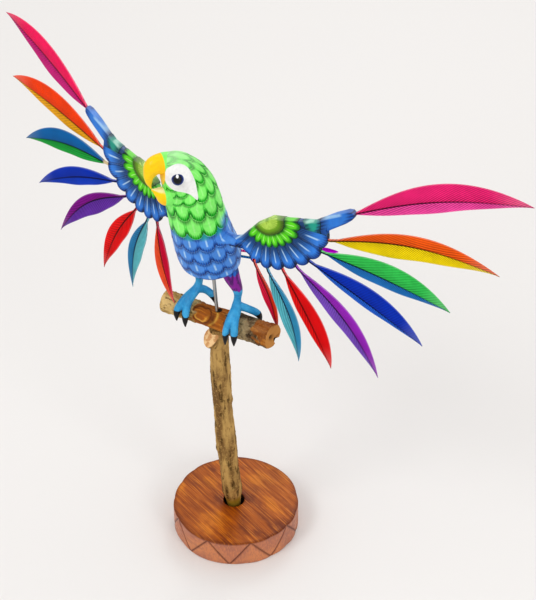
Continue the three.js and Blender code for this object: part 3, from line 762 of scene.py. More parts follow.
def plumage_place(points):
    """The row coordinate of each point, and its angle round the body from where the head looks."""
    line = body_path(np.linspace(0, 1, 300))
    height = points[..., 2]
    centre = np.stack([np.interp(height, line[:, 2], line[:, k]) for k in (0, 1)], -1)
    away = points[..., :2] - centre
    body_angle = np.arctan2(away @ ASIDE[:2], away @ AHEAD[:2])
    body_row = np.interp(height, ROW_HEIGHTS, ROW_PLACES)
    body_row = body_row + 0.4 * (1 - np.cos(body_angle + HEAD_YAW)) / 2 * smooth(395, 365, height)
    rest = points - THROAT
    backward, above = -(rest @ AHEAD), rest[..., 2]
    lifted = np.arctan2(above, backward)
    depth = np.interp(lifted, [0, 0.75, 1.4], [36, 42, 38]) - np.hypot(backward, above)
    aside = rest @ ASIDE - np.interp(lifted, [0, 0.75], [-5.2, 0])
    fan_angle = np.arctan2(aside, depth)
    fan_row = ROW_PLACES[-1] - FAN_ROWS * lifted / (PI / 2)
    on_head = height > ROW_HEIGHTS[-1]
    return np.where(on_head, fan_row, body_row), np.where(on_head, fan_angle, body_angle)


def scale_pattern(y, angle, columns):
    """Overlapping round-tipped scales in staggered rows. Returns how far each point lies above its own
    scale's tip, where it is across that scale, how far it lies under the scale above, and its row."""
    def tip(row):
        x = (angle / (2 * PI) * columns + 0.5 * (row % 2)) % 1 - 0.5
        return x, 0.44 * np.sqrt(np.clip(1 - (1.96 * x) ** 2, 0, 1))
    row = np.floor(y)
    x_up, tip_up = tip(row - 1)
    x_own, tip_own = tip(row)
    upper = y - row < tip_up
    across = np.where(upper, x_up, x_own) * 2
    edge = np.where(upper, row + tip_up, row + 1 + tip_own) - y
    under = np.where(upper, 9, y - row - tip_up)
    return edge, across, under, np.where(upper, row - 1, row)


def plumage(points, s):
    """Values for the scales' relief and paint at some points of the body's skin."""
    y, angle = plumage_place(points)
    edge, across, under, row = scale_pattern(y, angle, s.columns)
    from_front = np.abs((angle + HEAD_YAW + PI) % (2 * PI) - PI)
    # The crown value makes the scales paler towards the top of the head: a painted highlight.
    return {"edge": edge, "across": across, "under": under, "row": row,
            "crown": 0.72 * smooth(424, 452, points[..., 2]),
            "wing_side": smooth(1.45, 1.8, from_front) * smooth(3.6, 4.2, y)}


def body_shape(s):
    """The carved body with its scales; returns rings and values for the paint."""
    f = np.linspace(0, 1, BODY_ROWS)
    t = (1 - np.cos(PI * f)) / 2
    rings = sweep(body_path, body_half, t, turn(BODY_AROUND))
    values = plumage(rings, s)
    edge, across = values["edge"], values["across"]
    white = np.maximum(patch_depth(rings, "left"), patch_depth(rings, "right"))
    ahead = (rings - HEAD) @ AHEAD
    level = (rings - HEAD)[..., 2]
    yellow = np.where((level < 19.5) & (level > -31), ahead - BEAK_LINE, -5)
    plain = np.maximum(smooth(-0.6, 0.2, white), smooth(-0.6, 0.2, yellow))
    lift = s.relief / MM * (1 - np.clip(edge, 0, 1.5) / 1.5) * (1 - 0.25 * across ** 2)
    lift = np.where(plain > 0, lift * (1 - plain) + 0.35 * plain, lift) - 0.25
    fade = np.minimum(smooth(0, 0.03, f), smooth(1, 0.97, f))[:, None]
    rings = rings + normals(rings) * (lift * fade)[..., None]
    low = np.maximum(BELLY_FLAT - rings[..., 2], 0)
    rings[..., 2] += 0.45 * low
    return rings, {**values, "white": white, "yellow": yellow}


def shoulder_shape(side, s):
    """The short flare of the body that meets a wing's root."""
    start, end = wing_point(side, 17.0, 355.0), wing_point(side, 35.5, 355.5)

    def half(t, a):
        radius = 5.2 + 8.0 * (1 - t) ** 2.2
        radius = radius * np.sqrt(np.clip(1 - np.maximum(t - 0.86, 0) ** 2 / 0.0201, 0.02, 1))
        return radius * 0.72, radius
    rings = sweep(straight(start, end), half, np.linspace(0, 1, 60), turn(72), (0, 1, 0.001))
    values = plumage(rings, s)
    none = values["row"] * 0
    return rings, {**values, "row": none + FIRST_BLUE_ROW + 1, "white": none - 9, "yellow": none - 9}


def scale_paint():
    """A scale's paint: bright in the middle, hatched round its tip, dark under the scale above."""
    def fill(tree, entry):
        hatch = use(tree, fine_lines(), {"Across": entry["Across"], "Count": entry["Strokes"],
                                         "Waver": 3.0, "Width": -0.35})["Lines"]
        from_middle = calc(tree, "ABSOLUTE", entry["Across"])
        # How far in from the round tip, with the corners counted as near the edge.
        inward = calc(tree, "MULTIPLY_ADD", calc(tree, "POWER", from_middle, 3.0), -0.25, entry["Edge"])
        center = mix(tree, step(tree, inward, 0.06, 0.3), entry["Middle"], entry["Light"])
        center = mix(tree, step(tree, from_middle, 0.7, 1.0, 0.0, 0.8), center, entry["Middle"])
        band = calc(tree, "MULTIPLY", step(tree, inward, 0.02, 0.34, 0.95, 0.0), hatch)
        color = mix(tree, band, center, entry["Dark"])
        covered = step(tree, entry["Under"], 0.0, 0.3, 1.0, 0.0)
        shadow = calc(tree, "MULTIPLY", covered, calc(tree, "MULTIPLY_ADD", hatch, 0.35, 0.62))
        color = mix(tree, shadow, color, entry["Dark"])
        seam = calc(tree, "MULTIPLY", step(tree, from_middle, 0.8, 0.98), entry["Seam"])
        color = mix(tree, seam, color, entry["Dark"])
        wide = step(tree, from_middle, 0.04, 0.17, 1.0, 0.0)
        long = calc(tree, "MULTIPLY", step(tree, entry["Edge"], 0.32, 0.44),
                    step(tree, entry["Edge"], 0.76, 1.02, 1.0, 0.0))
        dash = calc(tree, "MULTIPLY", calc(tree, "MULTIPLY", wide, long), entry["Dash"])
        color = mix(tree, dash, color, entry["Streak"])
        line = step(tree, inward, -0.02, 0.05, 0.9, 0.0)
        return {"Color": mix(tree, line, color, entry["Dark"])}
    return group("Scale paint", {"Edge": (NUMBER, 1.0), "Across": (NUMBER, 0.0), "Under": (NUMBER, 9.0),
                                 "Dash": (NUMBER, 0.0), "Seam": (NUMBER, 0.0),
                                 "Strokes": (NUMBER, 24.0), "Light": (COLOR, (1, 1, 1)),
                                 "Middle": (COLOR, (0.5, 0.5, 0.5)), "Dark": (COLOR, (0, 0, 0)),
                                 "Streak": (COLOR, (0.9, 0.95, 1))}, {"Color": COLOR}, fill)


def scale_places(tree):
    """Where a point lies on its scale or petal, for Scale paint."""
    return {key.title(): value_of(tree, key) for key in ("edge", "across", "under")}


def beak_yellow(tree, s):
    patches = step(tree, cloud(tree, place(tree), 60.0), 0.35, 0.65)
    return mix(tree, patches, tuple(s.beak), paint("#ffc400"))


def body_paint(s):
    def build(tree):
        places = scale_places(tree)
        green = use(tree, scale_paint(), {**places, "Light": tuple(s.mint), "Middle": tuple(s.green),
                                          "Dark": tuple(s.deep_green), "Dash": 0.3,
                                          "Streak": paint("#c8ffb4")})["Color"]
        blue = use(tree, scale_paint(), {**places, "Light": tuple(s.sky), "Middle": tuple(s.blue),
                                         "Dark": tuple(s.deep_blue), "Dash": 0.75,
                                         "Streak": paint("#b8dcf8")})["Color"]
        row = value_of(tree, "row")
        first = calc(tree, "COMPARE", row, float(FIRST_BLUE_ROW), 0.4)
        teal = calc(tree, "MULTIPLY", first, step(tree, value_of(tree, "edge"), 0.75, 1.1))
        blue = mix(tree, calc(tree, "MULTIPLY", teal, 0.75), blue, paint("#08a48c"))
        color = mix(tree, calc(tree, "GREATER_THAN", row, FIRST_BLUE_ROW - 0.5), green, blue)
        color = mix(tree, calc(tree, "MULTIPLY", value_of(tree, "wing_side"), 0.9), color, blue)
        yellow = beak_yellow(tree, s)
        # Painted highlight: the crown is made paler towards its top.
        color = mix(tree, value_of(tree, "crown"), color, paint("#c8ffbe"))
        color = mix(tree, step(tree, value_of(tree, "white"), -0.35, 0.0), color, paint("#efeeec"))
        color = mix(tree, step(tree, value_of(tree, "yellow"), -0.35, 0.0), color, yellow)
        return use(tree, brushwork(), {"Color": color, "Marks": 0.4})
    return surface("Body paint", build, bump=0.2, Coat_Weight=0.06, Specular_IOR_Level=0.3)


UPPER_BEAK = (((3, 9.5), (13, 10.3), (20, 8.5), (24, 2), (24.6, -5), (23.2, -11)),
              (8.5, 8.8, 8.2, 4.8, 2.6, 0.6), (8, 8.2, 7, 4.6, 2.8, 0.8))
LOWER_BEAK = (((3, -20), (10, -21), (16.5, -17), (22.5, -12.6)), (8, 9.2, 5, 0.8), (8, 7.4, 5, 1))


def beak_rings(line, heights, widths):
    """Half of the beak: rings across its middle line, upright in the head's plane."""
    points = [HEAD + AHEAD * ahead + vec(0, 0, up) for ahead, up in line]
    t = np.linspace(0, 1, 90)
    centre = spline(points, t)
    along = unit(np.gradient(centre, axis=0))
    upright = np.cross(along, ASIDE)
    angle = turn(72)
    tt, aa = np.meshgrid(t, angle, indexing="ij")
    return (centre[:, None] + upright[:, None] * (blend(heights, tt) * np.sin(aa))[..., None]
            + ASIDE * (blend(widths, tt) * np.cos(aa))[..., None])


def beak_paint(s):
    def build(tree):
        yellow = beak_yellow(tree, s)
        # Painted shade under the upper beak.
        shade = mix(tree, value_of(tree, "gap"), yellow, paint("#e06c04"))
        # Painted highlight on the lower beak's upward faces.
        lip = mix(tree, value_of(tree, "lip"), shade, paint("#fff0b8"))
        ahead = step(tree, value_of(tree, "ahead"), BEAK_LINE - 0.3, BEAK_LINE)
        color = mix(tree, ahead, tuple(s.mint), lip)
        return use(tree, brushwork(), {"Color": color, "Marks": 0.2})
    return surface("Beak paint", build, bump=0.1, Coat_Weight=0.1, Specular_IOR_Level=0.3)


EYE_RADIUS, EYE_DOME = 5.0, 4.6        # mm


def eye_rings(side):
    """The domed bead of an eye, set into the skin."""
    place_on_skin, out, back, up = eye_frame(side)
    out = unit(out + vec(0, 0, 0.4))
    up = np.cross(out, back)
    centre = place_on_skin - out * 1.4
    lift = np.linspace(-PI / 2 + 0.02, PI / 2 - 0.02, 48)
    angle = turn(64)
    ll, aa = np.meshgrid(lift, angle, indexing="ij")
    radius = EYE_RADIUS
    rings = (centre + back * (radius * np.cos(ll) * np.cos(aa))[..., None]
             + up * (1.08 * radius * np.cos(ll) * np.sin(aa))[..., None]
             + out * (EYE_DOME * np.sin(ll))[..., None])
    away = rings - centre
    aside, above = away @ back, away @ vec(0, 0, 1)
    # Painted highlight: a white dot high on the bead.
    painted_glint = smooth(1.3, 0.8, np.hypot(aside + 0.1, above - 3.9))
    return rings, {"radius": np.cos(ll) * radius, "painted_glint": painted_glint * (ll > 0)}


def eye_paint():
    def build(tree):
        rim = step(tree, value_of(tree, "radius"), 2.9, 4.3)
        color = mix(tree, rim, paint("#060508"), paint("#0c2a78"))
        color = mix(tree, step(tree, value_of(tree, "radius"), 4.5, 4.95), color, paint("#2a62b8"))
        # Painted highlight: the white dot on the bead.
        color = mix(tree, value_of(tree, "painted_glint"), color, paint("#ffffff"))
        return use(tree, brushwork(), {"Color": color, "Marks": 0.0})
    return surface("Eye gloss", build, bump=0.02, Coat_Weight=0.4, Coat_Roughness=0.03,
                   Specular_IOR_Level=0.2)


class PARROT_OT_body(bpy.types.Operator):
    """Carve the body with its scales, the beak and the eyes"""
    bl_idname = "parrot.body"
    bl_label = "Body, beak and eyes"

    def execute(self, context):
        s = context.scene.parrot_body
        rings, values = body_shape(s)
        feathered = body_paint(s)
        dress(skin("body_carving", rings, **values), feathered, "bird", "body_paint", "parrot_body")
        for name, side in (("left", 1), ("right", -1)):
            rings, values = shoulder_shape(side, s)
            shoulder = skin(f"body_shoulder_{name}", rings, **values)
            dress(shoulder, feathered, "bird", "body_paint", "parrot_body")
        yellow = beak_paint(s)
        for name, half, gap_side in (("beak_upper", UPPER_BEAK, -1), ("beak_lower", LOWER_BEAK, 1)):
            rings = beak_rings(*half)
            ahead = (rings - HEAD) @ AHEAD
            level = (rings - HEAD)[..., 2]
            facing = normals(rings)[..., 2] * gap_side
            # Painted shade: the upper beak's downward faces over the gap are made darker orange.
            gap = smooth(0.5, 0.9, facing) * smooth(11, 15, ahead) * (gap_side < 0)
            # Painted highlight: the upward faces of the lower beak are made pale.
            lip = smooth(0.45, 0.8, facing) * (gap_side > 0) + 0 * level
            piece = skin(name, rings, ahead=ahead, gap=gap, lip=lip)
            dress(piece, yellow, "bird", "body_paint", "parrot_body")
        gloss = eye_paint()
        for side in ("left", "right"):
            rings, values = eye_rings(side)
            dress(skin(f"eye_bead_{side}", rings, **values), gloss, "bird", "eye_gloss", f"eye_{side}")
        return {"FINISHED"}


# ---------------------------------------------------------------- legs
# Points of the shank and of the toes, mm: two toes in front of the perch and one behind it.
LEGS = {
    "left": (((3, -9, 318), (7.5, -8, 304), (11.4, -5.5, 290), (9.9, -3.8, 279), (10.6, -7, 271)),
             (((10.6, -6, 272), (11, -17, 264.5), (10.8, -22.8, 254), (10.7, -24.4, 240.5)),
              ((11.4, -6, 272), (16.4, -17, 264.5), (19.6, -22.8, 255), (20.2, -24.4, 243.6)),
              ((10, -6, 273), (17, 0, 268.5), (23.8, 6.2, 262), (25.8, 9.4, 252)))),
    "right": (((-25, -9, 318), (-28, -8, 304), (-31, -5, 290), (-31.8, -3.8, 279), (-32.4, -8, 271.5)),
              (((-32.4, -7, 272.5), (-32.6, -18.5, 265.5), (-31.6, -25.2, 255), (-31, -26.8, 242.7)),
               ((-32.8, -7, 272.5), (-37, -19, 266.5), (-39.8, -26.2, 257.5), (-39.7, -27.8, 246.7)),
               ((-32, -7, 273.5), (-27.5, -1, 270), (-22, 3.2, 262.5), (-20.5, 4.6, 253)))),
}
SHANK_RADII = (8.4, 7.0, 4.5, 3.3, 4.4)
TOE_RADII = (4.0, 3.8, 3.5, 3.4, 3.3, 2.3, 0.7)
CLAW = 12.0                             # mm of each toe's end that is black
THIGH = (291.0, 309.0)                 # heights where the purple ends and the body's blue begins, mm


def leg_shape(side):
    """A leg: its limbs melted into one skin, with values for claws and thigh."""
    shank, toes = LEGS[side]
    limbs = [(shank, SHANK_RADII)] + [(toe, TOE_RADII) for toe in toes]
    parts = []
    for k, (points, radii) in enumerate(limbs):
        t = np.linspace(0, 1, 60)
        rings = sweep(lambda f: spline(points, f), lambda f, a: (blend(radii, f),) * 2, t, turn(28),
                      (0.31, 0.9, 0.3))
        parts.append(skin(f"limb_{k}", rings))
    with bpy.context.temp_override(active_object=parts[0], selected_objects=parts,
                                   selected_editable_objects=parts):
        bpy.ops.object.join()
    leg = parts[0]
    leg.name = f"leg_carving_{side}"
    bpy.context.view_layer.objects.active = leg
    melt = leg.modifiers.new("melt", "REMESH")
    melt.mode, melt.voxel_size, melt.use_smooth_shade = "VOXEL", 0.55 * MM, True
    soften = leg.modifiers.new("soften", "SMOOTH")
    soften.factor, soften.iterations = 0.5, 14
    for name in ("melt", "soften"):
        bpy.ops.object.modifier_apply(modifier=name)
    count = len(leg.data.vertices)
    points = np.empty(count * 3)
    leg.data.vertices.foreach_get("co", points)
    points = points.reshape(-1, 3) / MM
    to_tip = np.min([np.linalg.norm(points - np.array(toe[-1]), axis=1) for toe in toes], axis=0)
    add_values(leg.data, {"claw": CLAW - to_tip, "height": points[:, 2]})
    return leg


def leg_paint(s):
    def build(tree):
        mottle = cloud(tree, place(tree), 130.0)
        streaks = cloud(tree, place(tree, (1, 1, 0.3)), 420.0)
        blue = mix(tree, step(tree, mottle, 0.35, 0.65), paint("#3094ca"), tuple(s.leg))
        thigh = mix(tree, step(tree, streaks, 0.4, 0.55), paint("#5a0c70"), tuple(s.thigh))
        hatched = mix(tree, step(tree, streaks, 0.42, 0.55), paint("#063a86"), paint("#2a70cc"))
        edge = calc(tree, "MULTIPLY_ADD", streaks, 7.0, value_of(tree, "height"))
        color = mix(tree, step(tree, edge, THIGH[0] + 3.0, THIGH[0] + 4.5), blue, thigh)
        color = mix(tree, step(tree, edge, THIGH[1] + 3.0, THIGH[1] + 4.5), color, hatched)
        color = mix(tree, step(tree, value_of(tree, "claw"), -0.4, 0.4), color, paint("#101114"))
        return use(tree, brushwork(), {"Color": color, "Marks": 0.4})
    return surface("Leg paint", build, bump=0.2, Coat_Weight=0.05, Specular_IOR_Level=0.3)


class PARROT_OT_legs(bpy.types.Operator):
    """Carve the two legs that grip the perch"""
    bl_idname = "parrot.legs"
    bl_label = "Legs"

    def execute(self, context):
        material = leg_paint(context.scene.parrot_body)
        for side in ("left", "right"):
            dress(leg_shape(side), material, "bird", "leg_paint", f"leg_{side}")
        return {"FINISHED"}


# ---------------------------------------------------------------- wings
WING_SWEEP, WING_RAKE = 0.125, 0.077   # mm back for each mm outwards and upwards
WING_MIDDLE = (90, 370, -11.8)         # u outwards from the midline, v up, and y, mm
WING_TOP = ((28, 358.5), (39, 363), (53, 380), (66, 390), (80, 392.5), (104, 398), (122, 411), (132, 416.8),
            (135.5, 417.4), (137.6, 415.4))
NOTCHES = ((113.5, 390), (110, 373), (100.5, 360.5), (89.5, 352.5), (78, 346), (67, 342.5),
           (57, 342.5), (47, 345.5))
BULGE = 4.2                            # how far each petal's end stands out from its notches, mm
ARM_UNDERSIDE = ((131, 403.5), (135.5, 408), (138, 412))
FAN_CENTRE = vec(61.7, 385.9)          # the petals spread from here
ARM_START, ARM_RUN = vec(95, 392), unit(vec(42, 23))


def along_line(points, count):
    """Evenly spaced points on a broken line."""
    points = np.asarray(points, float)
    far = np.concatenate([[0], np.cumsum(np.linalg.norm(np.diff(points, axis=0), axis=1))])
    want = np.linspace(0, far[-1], count)
    return np.stack([np.interp(want, far, points[:, k]) for k in (0, 1)], -1)


def scalloped_edge():
    """The wing's lower edge, from the body to the arm's tip."""
    edge = [(28, 349), (41, 350), NOTCHES[-1]]
    for start, end in zip(NOTCHES[::-1][:-1], NOTCHES[::-1][1:]):
        start, end = np.array(start, float), np.array(end, float)
        run = end - start
        away = unit(vec(run[1], -run[0])) * BULGE
        for f in np.linspace(0, 1, 26)[1:]:
            edge.append(start + run * f + away * max(math.sin(PI * f), 0) ** 0.6)
    return edge + list(ARM_UNDERSIDE)


PEG_COVER = 3.1                        # radius of the wood left round the dowel, mm
PEG_HEIGHT = 356.5                     # the dowel's own height, mm
SWIRL, GREEN = 0.30, 0.56              # where the swirl and the green petals end, as parts of the reach
ARM_TEAL, ARM_END = 16.0, 49.0         # where the arm's first segment and the arm end, mm


def petal_pattern(flat, to_low):
    """Rows of petals that fan out from the swirl. flat holds u, v, and to_low the distance to the lower
    edge. Returns the ring of each point, and its place above, across and under its petal's edges."""
    away = flat - FAN_CENTRE
    reach = np.linalg.norm(away, axis=-1)
    angle = np.degrees(np.arctan2(away[..., 1], away[..., 0]))
    spokes = np.array(NOTCHES) - FAN_CENTRE
    spoke_angle = np.degrees(np.arctan2(spokes[:, 1], spokes[:, 0]))[::-1]
    spoke_reach = np.linalg.norm(spokes, axis=1)[::-1] + 2.0
    angle = np.where(angle > 120, angle - 360, angle)
    rim = np.interp(angle, spoke_angle, spoke_reach)
    radial = reach / rim
    petal = np.interp(angle, spoke_angle, np.arange(len(NOTCHES) * 1.0))
    petal = petal + (np.maximum(angle - spoke_angle[-1], 0) - np.maximum(spoke_angle[0] - angle, 0)) / 17

    def across_of(per_petal):
        return ((petal * per_petal) % 1) * 2 - 1
    rays, small, large = 0.3 * across_of(1.4), (((petal + 0.5) % 1) * 2 - 1), across_of(1.0)
    green_end = GREEN - 0.05 * np.abs(small) ** 2.2
    arm = (flat - ARM_START) @ ARM_RUN
    arm_across = np.clip(((flat - ARM_START) @ vec(-ARM_RUN[1], ARM_RUN[0]) - 1.5) / 8, -1.2, 1.2)
    arm_end = ARM_TEAL - 3.0 * arm_across ** 2
    on_arm = (arm > 0) & (angle > 2.5) & (reach > 33)
    ring = np.select([on_arm & (arm > arm_end), on_arm, radial < SWIRL, radial < green_end], [4, 3, 0, 1], 2)
    blue_edge = np.minimum(to_low / (0.44 * rim), (1.07 - radial) / (1 - GREEN))
    edge = np.choose(ring, [(SWIRL - radial) / SWIRL, (green_end - radial) / (GREEN - SWIRL), blue_edge,
                            (arm_end - arm) / ARM_TEAL,
                            (ARM_END - arm - 5 * arm_across ** 2) / (ARM_END - ARM_TEAL)])
    under = np.choose(ring, [9 + 0 * radial, (radial - SWIRL) / (GREEN - SWIRL),
                             0.42 * (radial - green_end) / (1 - GREEN) - 0.05,
                             arm / ARM_TEAL - 0.1, (arm - arm_end) / (ARM_END - ARM_TEAL)])
    across = np.choose(ring, [rays, small, large, arm_across * 0.75, arm_across * 0.75])
    return {"ring": ring, "edge": edge, "under": under, "across": across}


def wing_point(side, u, v):
    back = WING_SWEEP * (u - WING_MIDDLE[0]) + WING_RAKE * (v - WING_MIDDLE[1])
    return np.stack([MIDLINE + side * u, WING_MIDDLE[2] + back, v], -1)


def clear_of_body(points, side, gap):
    """Moves the points that lie inside the body outwards, to its skin."""
    t = np.linspace(0.02, 0.98, 160)
    centre, radius = body_path(t), body_half(t, None)[0] + gap
    for _ in range(10):
        away = np.linalg.norm(points[..., None, :] - centre, axis=-1) - radius
        short = np.minimum(away.min(axis=-1), 0)
        if short.min() > -0.02:
            break
        points = points - np.stack([short * side, 0 * short, 0 * short], -1)
    return points


def wing_shape(side, s):
    """A wing as a closed skin: petals carved on both faces, thin and round at its edge."""
    rows, across_rows = 300, 110
    top, low = along_line(WING_TOP, rows), along_line(scalloped_edge(), rows)
    f = (1 - np.cos(np.linspace(0, PI, across_rows))) / 2
    f = 0.35 * f + 0.65 * np.linspace(0, 1, across_rows)
    sheet = top[:, None] + (low - top)[:, None] * f[:, None]
    width = np.linalg.norm(low - top, axis=1)[:, None]
    values = petal_pattern(sheet, (1 - f)[None] * width)
    ring, across = values["ring"], values["across"]
    step_down, lobe, fall = s.step / MM, s.lobe / MM, np.clip(values["edge"], 0, 1)
    half = s.thickness / MM / 2 - step_down * (np.choose(ring, [0, 1, 2, 0.8, 1.4]) + 0.8 * fall - 0.4)
    half = half - lobe * np.abs(across) ** 2.2 * np.choose(ring, [0.25, 1, 1, 0.8, 0.8])
    over_peg = np.sqrt(np.maximum(PEG_COVER ** 2 - (sheet[..., 1] - PEG_HEIGHT) ** 2, 0))
    over_peg = over_peg * smooth(52, 47, sheet[..., 0])
    half = np.maximum(half, over_peg)
    to_edge = np.minimum(np.minimum(f, 1 - f)[None] * width, np.linspace(1, 0, rows)[:, None] * 126 + 0.15)
    rounding = np.sqrt(np.clip(1 - (1 - np.minimum(to_edge / 2.2, 1)) ** 2, 0.003, 1))
    half = half * rounding
    through = unit(np.cross(vec(side, WING_SWEEP, 0), vec(0, WING_RAKE, 1)))
    middle = wing_point(side, sheet[..., 0], sheet[..., 1])
    root = sheet[..., 0] < 50
    face = middle + through * half[..., None]
    back = middle - through * half[..., None]
    rings = np.concatenate([face, back[:, ::-1]], axis=1)
    near = np.concatenate([root, root[:, ::-1]], axis=1).any(axis=1)
    rings[near] = clear_of_body(rings[near], side, 0.7)
    both = {key: np.concatenate([v, v[:, ::-1]], axis=1).astype(float) for key, v in values.items()}
    both["upper"] = np.concatenate([f[None] * width, (f[None] * width)[:, ::-1]], axis=1)
    return rings, both


def wing_paint():
    """Paint of the wings: each ring's light, middle and dark tones, and how strong its streaks are."""
    tones = (("#6c9c14", "#527810", "#24380a", 0.9, 0.0, "#d4f070"),
             ("#62d81a", "#1e9c1c", "#06301a", 0.75, 0.85, "#c4f89a"),
             ("#3480d8", "#0c50a8", "#031c38", 0.6, 0.85, "#d0ecf8"),
             ("#1e9c88", "#0e7086", "#05384e", 0.6, 0.0, "#c0f0dc"),
             ("#2e7cd4", "#1058b0", "#04265a", 0.6, 0.0, "#b8e0f8"))

    def build(tree):
        ring = value_of(tree, "ring")
        places = scale_places(tree)
        for k, (light, middle, dark, dash, seam, streak) in enumerate(tones):
            made = use(tree, scale_paint(), {**places, "Light": paint(light), "Middle": paint(middle),
                                             "Dark": paint(dark),
                                             "Dash": dash, "Seam": seam, "Streak": paint(streak)})["Color"]
            if k:
                made = mix(tree, calc(tree, "GREATER_THAN", ring, k - 0.5), color, made)
            color = made
        # Painted highlight: a pale band along the wing's top edge.
        top_highlight = step(tree, value_of(tree, "upper"), 0.6, 2.6, 0.12, 0.0)
        color = mix(tree, top_highlight, color, (1, 1, 1), "SCREEN")
        between = step(tree, calc(tree, "PINGPONG", ring, 0.5), 0.04, 0.2)
        color = mix(tree, between, color, paint("#04262c"))
        return use(tree, brushwork(), {"Color": color, "Marks": 0.4})
    return surface("Wing paint", build, bump=0.2, Coat_Weight=0.05, Specular_IOR_Level=0.3)


class PARROT_OT_wings(bpy.types.Operator):
    """Carve the two wings, and the dowels that hold them in the body"""
    bl_idname = "parrot.wings"
    bl_label = "Wings"

    def execute(self, context):
        s = context.scene.parrot_wing
        material, wood = wing_paint(), bare_wood()
        for name, side in (("left", 1), ("right", -1)):
            rings, values = wing_shape(side, s)
            wing = skin(f"wing_carving_{name}", rings, **values)
            dress(wing, material, f"wing_{name}", "wing_paint", f"wing_{name}")
            finish(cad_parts[f"wing_peg_{name}"], wood)
        return {"FINISHED"}


# ---------------------------------------------------------------- feathers
# Each wing feather: its root (u, v), its tip (u, y, v), then for the left and the right wing the
# outer and inner half's width, the midrib's bow, and the outer and inner half's colour.
FEATHERS = {
    "pink": ((134, 412.5), (268, 43, 446), (15.5, 9.3, 8.1, "#ee2f7c", "#f554a6"),
             (13.5, 12.5, 3.2, "#ff2068", "#d41a84")),
    "orange": ((118, 383), (252.5, 27, 384), (10.5, 12.9, 10.3, "#f4661a", "#f6da10"),
               (15.5, 10, 2.8, "#ff4a04", "#fab408")),
    "green": ((112, 370), (223, 6, 348.5), (15.5, 8.3, 2.5, "#3ec85c", "#2a7cc0"),
              (12.6, 9.7, 7, "#0a6eb0", "#18ae44")),
    "blue": ((102.5, 357), (204.5, -2, 311), (14.7, 5.5, 1.5, "#0c3cbc", "#2c6cd4"),
             (9.8, 8.1, 5, "#083cbc", "#0e48cc")),
    "purple": ((91, 347), (171.5, -14, 270), (9, 9.2, 7.6, "#a030c0", "#8458c4"),
               (7.5, 12, 10, "#8c0c94", "#7038ac")),
    "red": ((78, 340), (124, -12, 255.5), (11.3, 6.9, 2, "#ec0a12", "#ee1214"),
            (9.7, 9.2, 5, "#f40408", "#f00c10")),
    "cyan": ((64, 335.5), (91, -12, 247.5), (6.6, 9.7, 6.2, "#3c9cc4", "#62bcc8"),
             (8.3, 9.3, 6.7, "#2a8abc", "#6ac4cc")),
    "inner": ((52, 337.5), (50.5, 13.5, 246), (3.9, 7, 3.9, "#f8401c", "#f01c4c"),
              (10, 7, 4, "#fc5a2c", "#e00440")),
}
RIGHT_TIPS = {"orange": (252.5, 27, 393), "purple": (171.5, -14, 279), "inner": (28, -30, 268)}
TAIL_ROOT, TAIL_SLOPE, TAIL_LAYER = (8, 322), math.radians(-33), 3.2
TAIL = {"purple": (0, 0, 210, 9.5, "#b400c4", "#c408d4"), "pink": (7, 1, 112, 8, "#ee2f7c", "#f554a6"),
        "blue": (-7, 1, 118, 10, "#0c3cbc", "#2c6cd4"), "green": (14, 2, 80, 7, "#3ec85c", "#2a7cc0"),
        "orange": (-14, 2, 98, 9.5, "#f4661a", "#f6da10")}
TAIL_RISE, TAIL_FALL = 2.2, 0.5        # a tail feather widens late and ends broad
QUILL = (1.3, 8.0)                     # radius and depth in its hole, mm


BARB_SLANT = 1.9


def leaf(b, fall, rise):
    """A leaf's half width, 1 at its widest; b runs from the root to the tip."""
    peak = rise / (rise + fall)
    return (b / peak) ** rise * ((1 - b) / (1 - peak)) ** fall


def feather_shape(root, tip, facing, halves, bow, flip, s, ripple, rise=1.1, falls=(0.9, 1.5)):
    """A leaf-shaped blade on a quill: a midrib cut, full halves and a thin edge."""
    run = tip - root
    size = np.linalg.norm(run)
    along = run / size
    outer = unit(np.cross(along, facing)) * -flip
    face = np.cross(outer, along)
    stem_radius, depth = QUILL
    b = np.concatenate([np.linspace(-depth / size, -0.001, 8), (1 - np.cos(np.linspace(0.04, PI, 150))) / 2])
    blade = np.clip(b, 0, 1)
    count = 34
    half_turn = np.linspace(-1, 1, count)
    a = np.concatenate([np.sin(half_turn * PI / 2), np.sin(half_turn[::-1] * PI / 2)[1:-1]])
    sign = np.concatenate([np.ones(count), -np.ones(count - 2)])
    bb, aa = np.meshgrid(blade, a, indexing="ij")
    stem = stem_radius * np.sqrt(1 - blade)[:, None]
    lobes = 1 + 0.035 * np.sin(bb * 17 + ripple) * smooth(0.15, 0.4, bb)
    wide = np.where(aa > 0, halves[0] * leaf(bb, falls[0], rise),
                    halves[1] * leaf(bb, falls[1], rise) * lobes)
    wide = np.maximum(wide, np.maximum(stem, 0.3))
    rounding = np.sqrt(np.clip(1 - aa ** 2, 0, 1))
    flat = np.clip(wide / 6, 0, 1)
    thick = s.thickness / MM / 2
    profile = rounding * (1 - flat) + flat * rounding ** 0.45 * (1 - 0.25 * aa ** 2)
    deep = np.maximum(np.minimum(stem, thick), 0.32) * profile
    rib = s.rib / MM * np.exp(-(aa * wide / 0.55) ** 2) * smooth(0.01, 0.06, bb) * smooth(1, 0.93, bb)
    cup = 0.9 * flat * aa ** 2
    distance = b * size
    centre = root + along * distance[:, None] + outer * (bow * np.sin(PI * blade))[:, None]
    rings = (centre[:, None] + outer * (aa * wide)[..., None]
             + face * ((deep - rib) * sign)[..., None] - face * (cup * 0.5)[..., None])
    return rings, {"along": bb * size, "share": bb, "aside": aa * wide, "half": wide}


